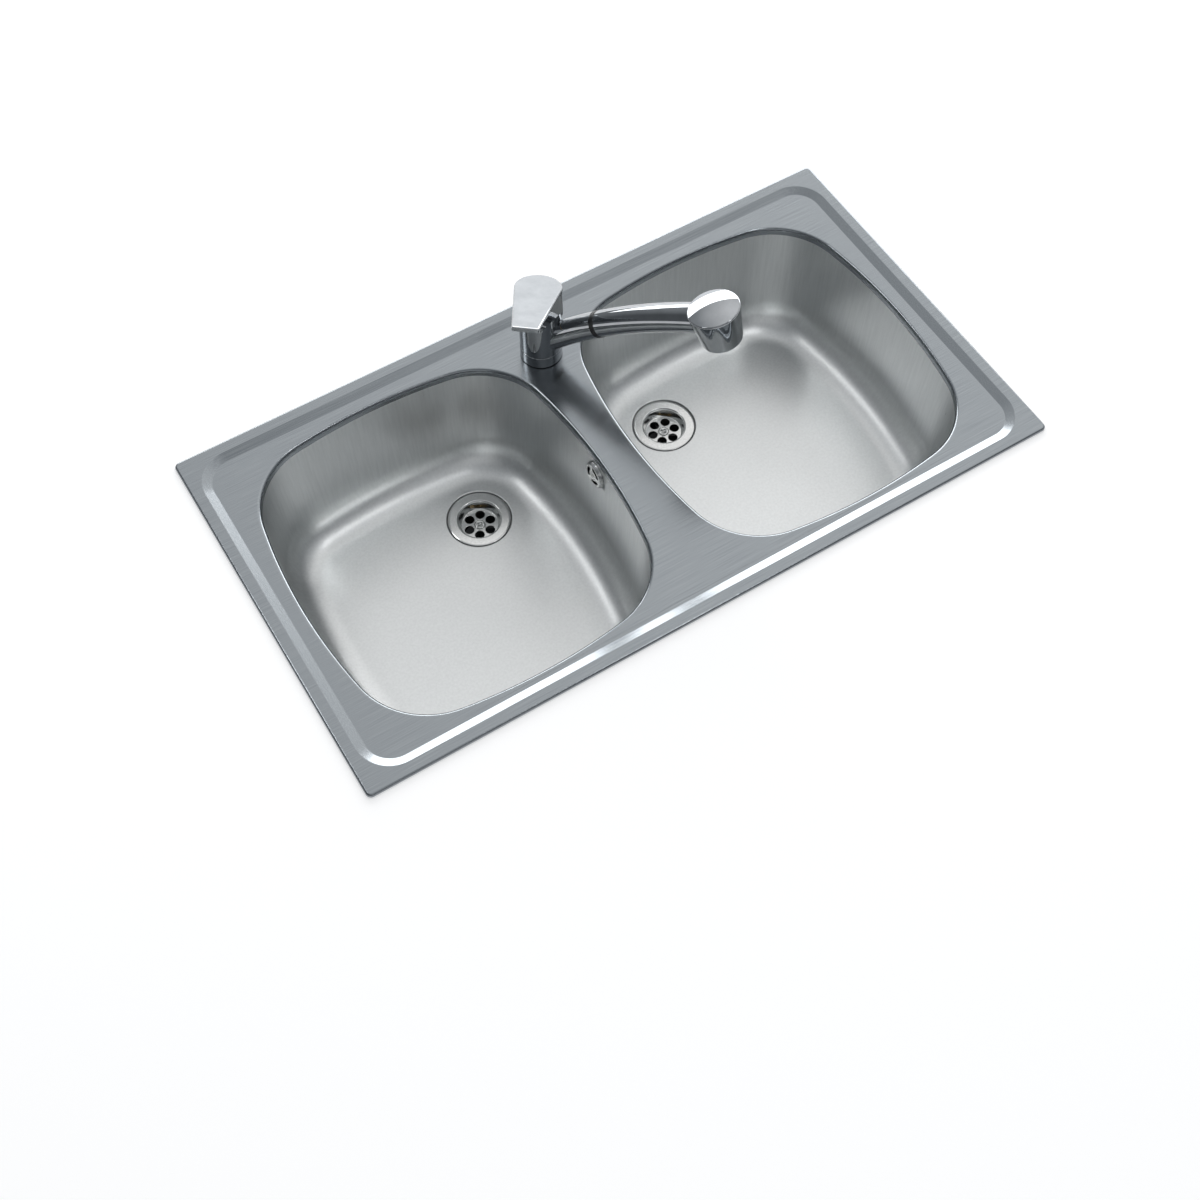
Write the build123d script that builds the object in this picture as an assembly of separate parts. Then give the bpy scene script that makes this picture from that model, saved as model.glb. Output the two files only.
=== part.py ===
from build123d import *
import os
from math import atan2, cos, degrees, hypot, pi, radians, sin, sqrt, tan

# A lay-on double bowl kitchen sink in pressed stainless steel, with its two strainer wastes,
# its overflow, its rim clips and a single-lever mixer tap with a pull-out spray head.
#
# Sizes are millimetres and degrees. The origin is the centre of the deck's outline in the plane
# of the worktop's top face. X runs along the sink, Y to the tap side and Z up.

# ------------------------------------------------------------------ top sheet
deck_length = 800.0
deck_width = 435.0
deck_corner_radius = 6.0
sheet = 0.8
rim_height = 4.0
rim_land = 13.0
rim_bend = 2.5
edge_gap = 0.5
step_run = 9.8
step_drop = 4.0
step_corner_radius = 38.0
step_bend = 2.0
seal_width = 8.0
seal_clearance = 0.2

# ------------------------------------------------------------------ bowls
bowl_end_land = 34.9
bowl_front_land = 28.1
bowl_back_land = 34.1
bowl_divider = 35.4
bowl_side_radius = 610.0
bowl_corner_radius = 89.0
bowl_depth = 150.0
bowl_roll = 4.0
bowl_skirt = 5.0
wall_draft = 3.0
floor_radius = 40.0
pad_length = 130.0
pad_width = 150.0
pad_thickness = 2.0
pad_corner_radius = 12.0
pad_offset_x = -45.0
pad_offset_y = -30.0

# ------------------------------------------------------------------ strainer wastes
waste_to_divider = 105.5
waste_to_back = 98.3
waste_hole_radius = 28.5
waste_recess_depth = 2.6
waste_recess_clearance = 1.0
flange_radius = 35.2
flange_seat_width = 4.7
flange_metal = 1.0
lip_radius = 27.0
lip_drop = 1.0
throat_top_radius = 24.2
throat_top_drop = 4.0
throat_bottom_radius = 19.8
throat_depth = 12.5
strainer_hole_radius = 5.0
strainer_hole_circle = 13.5
strainer_hole_count = 6
screw_dimple_radius = 6.2
screw_dimple_depth = 1.4
upper_seal_thickness = 1.0
lower_seal_thickness = 3.0
waste_screw_radius = 3.0
waste_screw_length = 24.0
waste_screw_head_radius = 5.6
waste_screw_head_height = 2.4
waste_cup_radius = 30.0
waste_cup_depth = 24.0
waste_cup_flange_radius = 35.0
waste_cup_flange_thickness = 3.5
waste_cup_wall = 2.6
waste_cone_depth = 9.0
waste_tail_radius = 23.9
waste_tail_bore_radius = 20.0
waste_tail_length = 24.0
insert_radius = 5.0
insert_length = 12.0
web_thickness = 3.0
web_count = 3
spigot_radius = 10.5
spigot_bore_radius = 8.5
spigot_length = 26.0
spigot_drop = 16.0
fit_gap = 0.1

# ------------------------------------------------------------------ overflow
overflow_drop = 27.5
overflow_rose_radius = 15.5
overflow_rose_height = 4.0
overflow_rose_wall = 1.4
overflow_slot_inner = 6.2
overflow_slot_outer = 12.4
overflow_slot_angle = 84.0
overflow_slot_count = 3
overflow_hole_radius = 12.5
overflow_seal_radius = 16.5
overflow_seal_thickness = 2.5
overflow_chamber_radius = 15.0
overflow_chamber_wall = 2.0
overflow_chamber_depth = 21.0
overflow_screw_radius = 2.4
overflow_screw_head_radius = 4.4
overflow_screw_head_height = 1.8
overflow_post_radius = 4.8
overflow_tail_length = 22.0

# ------------------------------------------------------------------ rim clips
worktop_thickness = 38.0
cutout_margin = 10.0
clip_end_inset = 65.0
clip_side_inset = 87.5
clip_metal = 1.5
clip_width = 16.0
clip_bracket_depth = 11.0
clip_bracket_height = 14.0
clip_edge_gap = 1.5
clip_grip = 9.0
clip_claw_drop = 10.0
clip_heel = 6.0
clip_screw_radius = 2.4
clip_screw_head_radius = 4.5
clip_screw_head_height = 3.5
clip_screw_above = 6.0

# ------------------------------------------------------------------ tap, fixed pieces
tap_to_back = 70.0
tap_hole_radius = 17.5
tap_seal_thickness = 1.0
tap_radius = 22.5
base_ring_height = 16.0
base_ring_proud = 0.4
core_radius = 18.2
sleeve_top = 62.0
turning_gap = 0.3
neck_radius = 17.2
neck_height = 6.0
shank_radius = 16.5
shank_bore_radius = 14.5
shank_engagement = 11.0
shank_drop = 46.0
hose_chamber_top = 33.0
hose_window_angle = 200.0
inlet_radius = 4.4
inlet_depth = 8.0
inlet_spread = 7.5
inlet_back = 5.0
port_radius = 2.0
cartridge_radius = 14.0
cartridge_floor = 45.0
cartridge_flange_top = 63.0
cartridge_neck_radius = 10.6
cartridge_neck_top = 69.0
nut_height = 4.5
pivot_height = 66.0
driver_radius = 8.7
driver_top = 70.0
driver_floor_thickness = 2.2
lever_pin_radius = 1.6
lever_pin_length = 15.4
dome_radius = 21.8
dome_wall = 2.4
dome_opening_radius = 13.0
ring_width = 5.0
ring_groove_depth = 1.0
ring_play = 0.05
lower_ring_height = 18.0
upper_ring_height = 54.0
washer_radius = 27.0
washer_rubber_thickness = 3.0
washer_steel_thickness = 1.5
back_nut_across_flats = 46.0
back_nut_height = 8.0

# ------------------------------------------------------------------ tap, spout and spray head
spout_azimuth = -55.0
spout_radius = 14.0
spout_wall = 2.0
spout_arc_radius = 500.0
spout_root_height = 41.0
spout_root_slope = 44.0
dock_slope = 37.4
dock_ring_width = 6.0
dock_ring_proud = 0.3
dock_bush_length = 16.0
dock_gap = 0.2
spigot_tube_radius = 8.8
spigot_tube_length = 30.0
hose_thread_radius = 7.2
hose_thread_length = 9.0
hose_thread_wall = 2.0
wand_sections = 4
wand_end_slope = 22.3
wand_end_radius = 15.5
nozzle_ahead = 21.0
nozzle_drop = 21.23
nozzle_tilt = 17.0
nozzle_radius = 21.0
head_radius = 27.0
head_height = 41.5
head_crown = 4.0
head_edge = 2.0
head_wall = 2.5
face_radius = 17.6
face_ledge = 1.2
face_recess = 1.0
face_thickness = 2.6
jet_radius = 0.9
jet_circle = 12.0
jet_count = 12

# ------------------------------------------------------------------ tap, lever
lever_azimuth = 231.5
lever_reach = 82.5
lever_tip_height = 140.0
lever_rise = 22.0
lever_tip_width = 28.4
lever_tip_thickness = 5.5
lever_tip_corner = 3.0
lever_edge = 2.5
hub_radius = 25.0
hub_gap = 0.4
hub_rim_front = 63.2
hub_rim_back = 77.5
hub_under_blade = 91.0
stem_side = 7.0
stem_top = 97.0
lever_screw_radius = 2.0
lever_screw_height = 90.5
lever_screw_length = 9.0
lever_plug_radius = 3.2
lever_plug_length = 2.5

parts = {}


# ------------------------------------------------------------------ shared shapes

def rounded_plate(length, width, corner, bottom, top):
    """A plate with rounded corners, centred on Z, between two heights."""
    return extrude(Pos(0, 0, bottom) * RectangleRounded(length, width, corner), top - bottom)


def disc(radius, bottom, top):
    """A round bar on Z between two heights."""
    return Pos(0, 0, bottom) * extrude(Circle(radius), top - bottom)


def ring(outer, inner, bottom, top):
    """A round bar on Z with a bore through it."""
    return disc(outer, bottom, top) - disc(inner, bottom - 1, top + 1)


def sector(angle, bottom, top):
    """A wedge on Z, wider than any piece here, that opens by `angle` about +X."""
    reach = 60.0
    half = radians(angle / 2)
    low = (reach * cos(half), -reach * sin(half))
    high = (reach * cos(half), reach * sin(half))
    face = make_face([Line((0, 0), low), ThreePointArc(low, (reach, 0), high), Line(high, (0, 0))])
    return extrude(Pos(0, 0, bottom) * face, top - bottom)


def turned(points):
    """A solid of revolution on Z from the corners (radius, height) of its half section."""
    return revolve(make_face(Plane.XZ * Polyline(*points, close=True)), Axis.Z)


def strip(points, metal, width):
    """A folded strip: the line of its bends in XZ, thickened to one side and as wide as said."""
    face = make_face(offset(Plane.XZ * Polyline(*points), metal, side=Side.RIGHT, kind=Kind.INTERSECTION))
    return extrude(face, width / 2, both=True)


def polar(count, start=0.0):
    """Turns about Z that spread `count` copies evenly."""
    return [Rot(0, 0, start + 360.0 * i / count) for i in range(count)]


# ------------------------------------------------------------------ top sheet

bowl_length = (deck_length - 2 * bowl_end_land - bowl_divider) / 2
bowl_width = deck_width - bowl_front_land - bowl_back_land
bowl_pitch = bowl_length + bowl_divider
bowl_setback = (bowl_back_land - bowl_front_land) / 2
tap_setback = deck_width / 2 - tap_to_back
deck_level = rim_height - step_drop
bowl_centres = {"left": -bowl_pitch / 2, "right": bowl_pitch / 2}
skirt_bottom = deck_level - bowl_roll - bowl_skirt
floor_level = deck_level - bowl_depth


def bowl_outline(grow):
    """The outline of a bowl, `grow` outside its opening: four long side arcs and four corners."""
    half_x = bowl_length / 2 + grow
    half_y = bowl_width / 2 + grow
    side = bowl_side_radius + grow
    corner = bowl_corner_radius + grow
    # The side arcs are centred at (cx, 0) and (0, cy), and a corner's centre is `reach` from both.
    cx = half_x - side
    cy = half_y - side
    reach = side - corner
    gap = hypot(cx, cy)
    lift = sqrt(reach ** 2 - (gap / 2) ** 2)
    corner_x = cx / 2 - lift * cy / gap
    corner_y = cy / 2 - lift * cx / gap
    end_x = Vector(cx + side * (corner_x - cx) / reach, side * corner_y / reach)
    end_y = Vector(side * corner_x / reach, cy + side * (corner_y - cy) / reach)
    turn = radians(45)
    bend = Vector(corner_x + corner * cos(turn), corner_y + corner * sin(turn))

    def at(point, sign_x, sign_y):
        return (point.X * sign_x, point.Y * sign_y)

    edges = []
    edges += [ThreePointArc(at(end_x, 1, -1), (half_x, 0), at(end_x, 1, 1))]
    edges += [ThreePointArc(at(end_x, 1, 1), at(bend, 1, 1), at(end_y, 1, 1))]
    edges += [ThreePointArc(at(end_y, 1, 1), (0, half_y), at(end_y, -1, 1))]
    edges += [ThreePointArc(at(end_y, -1, 1), at(bend, -1, 1), at(end_x, -1, 1))]
    edges += [ThreePointArc(at(end_x, -1, 1), (-half_x, 0), at(end_x, -1, -1))]
    edges += [ThreePointArc(at(end_x, -1, -1), at(bend, -1, -1), at(end_y, -1, -1))]
    edges += [ThreePointArc(at(end_y, -1, -1), (0, -half_y), at(end_y, 1, -1))]
    edges += [ThreePointArc(at(end_y, 1, -1), at(bend, 1, -1), at(end_x, 1, -1))]
    return make_face(edges)


def deck_form(inset):
    """Everything under the top sheet's skin, with the skin's walls moved in by `inset`."""
    top = rim_height - inset
    bottom = skirt_bottom - bowl_roll
    form = rounded_plate(deck_length - 2 * inset, deck_width - 2 * inset,
                         deck_corner_radius - inset, bottom, top)
    form = fillet(form.faces().sort_by(Axis.Z)[-1].edges(), rim_bend - inset)

    # The pan inside the rim: its wall slopes from the rim's land down to the deck.
    outer = RectangleRounded(deck_length - 2 * rim_land, deck_width - 2 * rim_land, step_corner_radius)
    inner = RectangleRounded(deck_length - 2 * (rim_land + step_run), deck_width - 2 * (rim_land + step_run),
                             step_corner_radius - step_run)
    pan = loft([Pos(0, 0, top) * outer, Pos(0, 0, top - step_drop) * inner], ruled=True)
    pan = fillet(pan.faces().sort_by(Axis.Z)[0].edges(), step_bend)
    form -= pan
    rim_face = form.faces().sort_by(Axis.Z)[-1]
    form = fillet(rim_face.inner_wires()[0].edges(), step_bend)

    # The two wells, whose edges roll over from the deck.
    for centre in bowl_centres.values():
        outline = Pos(centre, -bowl_setback, bottom - 1) * bowl_outline(inset - bowl_roll)
        form -= extrude(outline, top - bottom + 2)
    deck_face = form.faces().filter_by(Axis.Z).filter_by_position(
        Axis.Z, top - step_drop - 0.01, top - step_drop + 0.01)[0]
    rolls = []
    for wire in deck_face.inner_wires():
        rolls += wire.edges()
    return fillet(rolls, bowl_roll - inset)


def make_deck():
    """The top sheet: turned-down edge, raised rim, sloping step, deck, rolled bowl openings, tap hole."""
    deck = deck_form(0) - deck_form(sheet)
    below = skirt_bottom - bowl_depth
    below_skirts = rounded_plate(2 * deck_length, 2 * deck_width, deck_corner_radius, below, skirt_bottom)
    edge_region = rounded_plate(deck_length + rim_land, deck_width + rim_land, deck_corner_radius, below, edge_gap)
    edge_region -= rounded_plate(deck_length - 2 * rim_land, deck_width - 2 * rim_land,
                                 step_corner_radius, below - 1, edge_gap + 1)
    deck -= below_skirts + edge_region
    return deck - Pos(0, tap_setback, 0) * disc(tap_hole_radius, skirt_bottom, rim_height)


def make_rim_seal():
    """The foam strip between the rim's underside and the worktop."""
    start = rim_bend + seal_clearance
    outer = rounded_plate(deck_length - 2 * start, deck_width - 2 * start,
                          deck_corner_radius - start, 0, rim_height - sheet)
    edge = start + seal_width
    inner = rounded_plate(deck_length - 2 * edge, deck_width - 2 * edge, deck_corner_radius, -1, rim_height)
    return outer - inner


# ------------------------------------------------------------------ bowls

recess_radius = flange_radius + waste_recess_clearance
recess_level = floor_level - waste_recess_depth
waste_y = -bowl_setback + bowl_width / 2 - waste_to_back


def waste_x(side):
    """A waste lies at a fixed distance from the divider, on its own bowl's side."""
    from_middle = bowl_divider / 2 + waste_to_divider
    return -from_middle if side == "left" else from_middle


def bowl_form(grow):
    """A bowl's inside grown by `grow`: drafted walls, a large floor radius and the waste's recess."""
    height = skirt_bottom - floor_level + grow
    form = extrude(Pos(0, 0, skirt_bottom) * bowl_outline(grow - bowl_roll), amount=-height, taper=wall_draft)
    return fillet(form.faces().sort_by(Axis.Z)[0].edges(), floor_radius + grow)


def waste_recess(grow):
    """The pressed seat that lets the strainer's flange lie flush with the floor."""
    wide = recess_radius + waste_recess_clearance + grow
    narrow = recess_radius + grow
    return turned([(0, recess_level - grow), (narrow, recess_level - grow), (wide, floor_level - grow + 0.001),
                   (wide, floor_level + sheet), (0, floor_level + sheet)])


def make_bowl(side):
    """A deep-drawn bowl, butt-welded under the deck's skirt."""
    place = Pos(bowl_centres[side], -bowl_setback, 0)
    waste = Pos(waste_x(side), waste_y, 0)
    bowl = place * bowl_form(sheet) + waste * waste_recess(sheet)
    bowl -= place * bowl_form(0) + waste * waste_recess(0)
    bowl -= waste * disc(waste_hole_radius, recess_level - 5, recess_level + 5)
    if side == "left":
        bowl -= overflow_frame * disc(overflow_hole_radius, -10, 10)
    return bowl


def make_sound_pad(side):
    """A self-adhesive pad under the bowl's floor that deadens the drumming of water."""
    sign = 1 if side == "left" else -1
    top = floor_level - sheet
    pad = rounded_plate(pad_length, pad_width, pad_corner_radius, top - pad_thickness, top)
    return Pos(bowl_centres[side] + sign * pad_offset_x, -bowl_setback + pad_offset_y, 0) * pad


# The overflow sits square to the left bowl's wall on the divider's side. Its frame has its origin on
# the wall's inner face and its Z axis pointing into the bowl.
wall_run = (skirt_bottom + overflow_drop) * tan(radians(wall_draft))
overflow_x = bowl_centres["left"] + bowl_length / 2 - bowl_roll - wall_run
overflow_frame = Pos(overflow_x, -bowl_setback, -overflow_drop) * Rot(0, -90 + wall_draft, 0)


# ------------------------------------------------------------------ strainer wastes

flange_under = recess_level + upper_seal_thickness
cup_top = recess_level - sheet - lower_seal_thickness
strainer_top = floor_level - throat_depth
screw_seat = strainer_top - screw_dimple_depth
cup_bottom = cup_top - waste_cup_depth
tail_top = cup_bottom - waste_cone_depth
tail_bottom = tail_top - waste_tail_length
insert_top = screw_seat - flange_metal - 4.0


def make_strainer(turn):
    """The flange, throat and strainer plate, pressed from one disc."""
    metal = flange_metal
    rim_top = flange_under + metal
    seat = flange_radius - flange_seat_width
    body = turned([
        (0, strainer_top), (throat_bottom_radius, strainer_top), (throat_top_radius, rim_top - throat_top_drop),
        (lip_radius, rim_top - lip_drop), (seat, rim_top), (flange_radius, rim_top),
        (flange_radius, flange_under), (seat, flange_under), (lip_radius + 0.4 * metal, flange_under - lip_drop),
        (throat_top_radius + metal, flange_under - throat_top_drop + 0.8 * metal),
        (throat_bottom_radius + metal, strainer_top - metal), (0, strainer_top - metal)])
    dimple_wall = screw_dimple_radius + metal
    body += disc(dimple_wall, screw_seat - metal, strainer_top - metal / 2)
    body -= disc(screw_dimple_radius, screw_seat, strainer_top + 1)
    body -= disc(waste_screw_radius + fit_gap, screw_seat - 5, screw_seat + 5)
    for spin in polar(strainer_hole_count, turn):
        body -= spin * Pos(strainer_hole_circle, 0, 0) * disc(strainer_hole_radius, strainer_top - 5, strainer_top + 5)
    return body


def make_waste_screw():
    """The countersunk-look screw that pulls the strainer down on to the cup, with a cross recess."""
    head = disc(waste_screw_head_radius, screw_seat, screw_seat + waste_screw_head_height)
    head = fillet(head.faces().sort_by(Axis.Z)[-1].edges(), 1.0)
    shank = disc(waste_screw_radius, screw_seat - waste_screw_length, screw_seat)
    slot_floor = screw_seat + waste_screw_head_height - 1.4
    screw = head + shank
    for angle in (0, 90):
        screw -= Rot(0, 0, angle) * Pos(0, 0, slot_floor + 5) * Box(6.4, 1.3, 10)
    return screw


def make_upper_seal():
    """The thin washer between the flange and the bowl's recess."""
    return ring(flange_radius, flange_radius - flange_seat_width, recess_level, flange_under)


def make_lower_seal():
    """The thick ring between the bowl's underside and the waste cup."""
    return ring(waste_cup_flange_radius - 0.5, waste_hole_radius, cup_top, recess_level - sheet)


def make_waste_cup(with_overflow):
    """The moulded cup under the bowl: flange, cone, threaded tail, and webs that hold the screw's insert."""
    wall = waste_cup_wall
    outer = [(0, cup_top), (waste_cup_flange_radius, cup_top),
             (waste_cup_flange_radius, cup_top - waste_cup_flange_thickness),
             (waste_cup_radius, cup_top - waste_cup_flange_thickness - 2.0), (waste_cup_radius, cup_bottom),
             (waste_tail_radius, tail_top), (waste_tail_radius, tail_bottom), (0, tail_bottom)]
    inner = [(0, cup_top + 1), (waste_cup_radius - wall, cup_top + 1), (waste_cup_radius - wall, cup_bottom),
             (waste_tail_bore_radius, tail_top), (waste_tail_bore_radius, tail_bottom - 1), (0, tail_bottom - 1)]
    cup = turned(outer)
    spigot_level = cup_top - spigot_drop
    aim = atan2(waste_y + bowl_setback, -waste_x("left"))
    if with_overflow:
        reach = waste_cup_radius + spigot_length
        spigot = Rot(0, 0, -degrees(aim)) * Pos(0, 0, spigot_level) * Rot(0, 90, 0)
        cup += spigot * disc(spigot_radius, 0, reach)
        barb = turned([(spigot_radius - 1, -1.6), (spigot_radius, -1.6), (spigot_radius + 0.9, 0),
                       (spigot_radius - 1, 0)])
        for i in range(3):
            cup += spigot * Pos(0, 0, reach - 3.0 - 4.0 * i) * Rot(180, 0, 0) * barb
        cup -= spigot * disc(spigot_bore_radius, 0, reach + 1)
    cup -= turned(inner)
    web_bottom = insert_top - insert_length
    web_reach = waste_cup_radius - wall / 2
    hub = disc(insert_radius + 2.2, web_bottom, insert_top)
    for spin in polar(web_count, 90):
        hub += spin * Pos(web_reach / 2, 0, (insert_top + web_bottom) / 2) * Box(
            web_reach, web_thickness, insert_top - web_bottom)
    cup += hub
    return cup - disc(insert_radius, web_bottom - 5, insert_top + 1)


def make_waste_insert():
    """The brass insert that takes the strainer's screw."""
    return ring(insert_radius, waste_screw_radius + fit_gap, insert_top - insert_length, insert_top)


# ------------------------------------------------------------------ overflow

rose_back = 0.35
chamber_front = -sheet - 0.2 - overflow_seal_thickness
chamber_back = chamber_front - overflow_chamber_depth
overflow_screw_seat = rose_back + overflow_rose_height - 2.0


def make_overflow_rose():
    """The round cap in the bowl: a shallow dished disc with three sector slots and a sunk screw."""
    top = rose_back + overflow_rose_height
    rose = turned([(0, rose_back), (overflow_rose_radius, rose_back), (overflow_rose_radius, rose_back + 1.2),
                   (overflow_rose_radius - 1.8, top), (0, top)])
    rose -= disc(overflow_slot_outer, rose_back - 1, top - overflow_rose_wall)
    rose += disc(overflow_screw_head_radius + 1.6, rose_back, top)
    slot = ring(overflow_slot_outer, overflow_slot_inner, rose_back - 1, top + 1)
    slot &= sector(overflow_slot_angle, rose_back - 1, top + 1)
    for spin in polar(overflow_slot_count, 90):
        rose -= spin * slot
    rose -= disc(overflow_screw_head_radius + 0.2, overflow_screw_seat, top + 1)
    rose -= disc(overflow_screw_radius + fit_gap, rose_back - 1, top + 1)
    return overflow_frame * rose


def make_overflow_screw():
    """The screw that draws the rose and the elbow together through the wall."""
    head_top = overflow_screw_seat + overflow_screw_head_height
    head = disc(overflow_screw_head_radius, overflow_screw_seat, head_top)
    head = fillet(head.faces().sort_by(Axis.Z)[-1].edges(), 0.8)
    screw = head + disc(overflow_screw_radius, chamber_front - 12, overflow_screw_seat)
    screw -= Pos(0, 0, head_top + 4.2) * Box(5.4, 1.1, 10)
    screw -= Pos(0, 0, head_top + 4.2) * Box(1.1, 5.4, 10)
    return overflow_frame * screw


def make_overflow_seal():
    """The rubber ring between the wall's outer face and the elbow."""
    return overflow_frame * ring(overflow_seal_radius, overflow_hole_radius, chamber_front,
                                 chamber_front + overflow_seal_thickness)


def make_overflow_elbow():
    """The elbow behind the wall: a round chamber with the screw's post, and a hose tail pointing down."""
    wall = overflow_chamber_wall
    middle = (chamber_front + chamber_back) / 2 - 1.0
    elbow = disc(overflow_seal_radius, chamber_front - 2.5, chamber_front)
    elbow += disc(overflow_chamber_radius, chamber_back, chamber_front)
    # The tail leaves square to the chamber, downwards.
    tail = Pos(0, 0, middle) * Rot(0, -90, 0)
    reach = overflow_chamber_radius + overflow_tail_length
    tail_tube = disc(spigot_radius, 0, reach)
    for i in range(3):
        tail_tube += Pos(0, 0, reach - 3.0 - 4.0 * i) * Rot(180, 0, 0) * turned(
            [(spigot_radius - 1, -1.6), (spigot_radius, -1.6), (spigot_radius + 0.9, 0), (spigot_radius - 1, 0)])
    elbow += tail * tail_tube
    elbow -= disc(overflow_chamber_radius - wall, chamber_back + wall, chamber_front + 1)
    elbow -= tail * disc(spigot_bore_radius, 0, reach + 1)
    post = disc(overflow_post_radius, chamber_back + wall / 2, chamber_front - 2.0)
    post &= disc(overflow_chamber_radius - wall / 2, chamber_back, chamber_front)
    elbow += post
    elbow -= disc(overflow_screw_radius + fit_gap, chamber_front - 14, chamber_front + 1)
    return overflow_frame * elbow


# ------------------------------------------------------------------ rim clips

def clip_stations():
    """Places of the rim clips, each with X pointing out of the sink at the foot of the step."""
    inset = rim_land + step_run + clip_edge_gap
    front = deck_width / 2 - inset
    end = deck_length / 2 - inset
    along = deck_length / 2 - clip_end_inset
    stations = []
    for x in (-along, 0, along):
        stations += [Pos(x, -front, 0) * Rot(0, 0, -90), Pos(x, front, 0) * Rot(0, 0, 90)]
    across = deck_width / 2 - clip_side_inset
    for y in (-across, across):
        stations += [Pos(end, y, 0), Pos(-end, y, 0) * Rot(0, 0, 180)]
    return stations


clip_head_level = deck_level - sheet
bracket_foot = clip_head_level - clip_bracket_height
claw_level = -worktop_thickness - clip_claw_drop
clip_screw_x = -clip_bracket_depth / 2


def make_clip_bracket():
    """A channel-shaped bracket spot-welded under the deck, with the clamp screw's tapped hole."""
    line = [(-clip_bracket_depth, clip_head_level), (0, clip_head_level), (0, bracket_foot),
            (-clip_bracket_depth, bracket_foot)]
    bracket = strip(line[::-1], clip_metal, clip_width)
    return bracket - Pos(clip_screw_x, 0, 0) * disc(clip_screw_radius + fit_gap, bracket_foot - 5, bracket_foot + 5)


def make_clip_claw():
    """The pressed claw: its tooth grips the worktop from below, and its heel stiffens the inner end."""
    tooth = rim_land + step_run + clip_edge_gap - cutout_margin + clip_grip
    heel = clip_screw_x - clip_heel
    line = [(heel, claw_level + clip_heel), (heel, claw_level), (tooth, claw_level), (tooth, -worktop_thickness)]
    claw = strip(line, clip_metal, clip_width)
    return claw - Pos(clip_screw_x, 0, 0) * disc(clip_screw_radius + fit_gap, claw_level - 5, claw_level + 5)


def make_clip_screw():
    """The clamp screw: its slotted head bears on the claw from below."""
    top = bracket_foot + clip_metal + clip_screw_above
    shank = disc(clip_screw_radius, claw_level, top)
    head = disc(clip_screw_head_radius, claw_level - clip_screw_head_height, claw_level)
    head -= Pos(0, 0, claw_level - clip_screw_head_height) * Box(12, 1.2, 2.4)
    return Pos(clip_screw_x, 0, 0) * (shank + head)


def at_stations(piece):
    """The same piece at every clip, as separate solids."""
    return Compound(children=[station * piece for station in clip_stations()])


# ------------------------------------------------------------------ tap, fixed pieces

tap_foot = deck_level + tap_seal_thickness
ring_top = deck_level + base_ring_height
sleeve_bottom = ring_top + turning_gap
bore_radius = core_radius + turning_gap
dome_bottom = sleeve_top + turning_gap
neck_top = dome_bottom + neck_height
tap_axis = Pos(0, tap_setback, 0)
driver_floor = pivot_height - stem_side / 2 - turning_gap - driver_floor_thickness
lever_place = tap_axis * Rot(0, 0, lever_azimuth)
pin_frame = Pos(0, 0, pivot_height) * Rot(90, 0, 0)


def make_tap_seal():
    """The rubber ring under the tap's foot."""
    return ring(tap_radius - 0.3, shank_radius + fit_gap, deck_level, tap_foot)


def make_base_ring():
    """The chromed ring that stands on the deck below the turning sleeve."""
    body = ring(tap_radius + base_ring_proud, core_radius + fit_gap, tap_foot, ring_top)
    edges = body.edges().filter_by(GeomType.CIRCLE).filter_by(lambda e: e.radius > tap_radius)
    return fillet(edges, 0.6)


def ring_grooves():
    """The grooves in the core that hold the slide rings."""
    groove = core_radius - ring_groove_depth
    grooves = []
    for height in (lower_ring_height, upper_ring_height):
        grooves += [ring(core_radius + 1, groove, height, height + ring_width)]
    return grooves


def make_core():
    """The brass core: foot, hose chamber with its window, two tapped inlets, cartridge bore and neck."""
    core = disc(core_radius, tap_foot, dome_bottom) + disc(neck_radius, dome_bottom, neck_top)
    core -= disc(shank_radius + fit_gap, tap_foot - 1, tap_foot + shank_engagement)
    core -= disc(shank_bore_radius, tap_foot, hose_chamber_top)
    core -= disc(cartridge_radius + fit_gap, cartridge_floor, neck_top + 1)
    core -= disc(neck_radius - 1.4, cartridge_flange_top, neck_top + 1)
    window_bottom = lower_ring_height + ring_width + 1.0
    window = sector(hose_window_angle, window_bottom, hose_chamber_top)
    core -= Rot(0, 0, -90) * (window - disc(shank_bore_radius - 1, window_bottom - 1, hose_chamber_top + 1))
    for side in (-1, 1):
        inlet = Pos(side * inlet_spread, inlet_back, 0)
        core -= inlet * disc(inlet_radius, hose_chamber_top - 1, hose_chamber_top + inlet_depth)
        core -= inlet * disc(port_radius, hose_chamber_top, cartridge_floor + 1)
    for groove in ring_grooves():
        core -= groove
    return core


def make_slide_rings():
    """Two split plastic rings in the core's grooves, on which the sleeve turns."""
    inner = core_radius - ring_groove_depth + ring_play
    outer = bore_radius - ring_play
    rings = []
    for height in (lower_ring_height, upper_ring_height):
        rings += [ring(outer, inner, height, height + ring_width)]
    return Compound(children=rings)


def make_shank():
    """The threaded tube that passes through the deck and holds the tap."""
    return ring(shank_radius, shank_bore_radius, deck_level - shank_drop, tap_foot + shank_engagement)


def make_back_nut():
    """The hexagonal nut that draws the tap down from below."""
    top = deck_level - sheet - washer_rubber_thickness - washer_steel_thickness
    hexagon = RegularPolygon(back_nut_across_flats / 2, 6, major_radius=False)
    nut = Pos(0, 0, top - back_nut_height) * extrude(hexagon, back_nut_height)
    nut &= Pos(0, 0, top - back_nut_height / 2) * chamfer(
        Cylinder(back_nut_across_flats / 2 / cos(pi / 6), back_nut_height).edges().filter_by(GeomType.CIRCLE), 1.5)
    return nut - disc(shank_radius + fit_gap, top - 50, top + 50)


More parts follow.
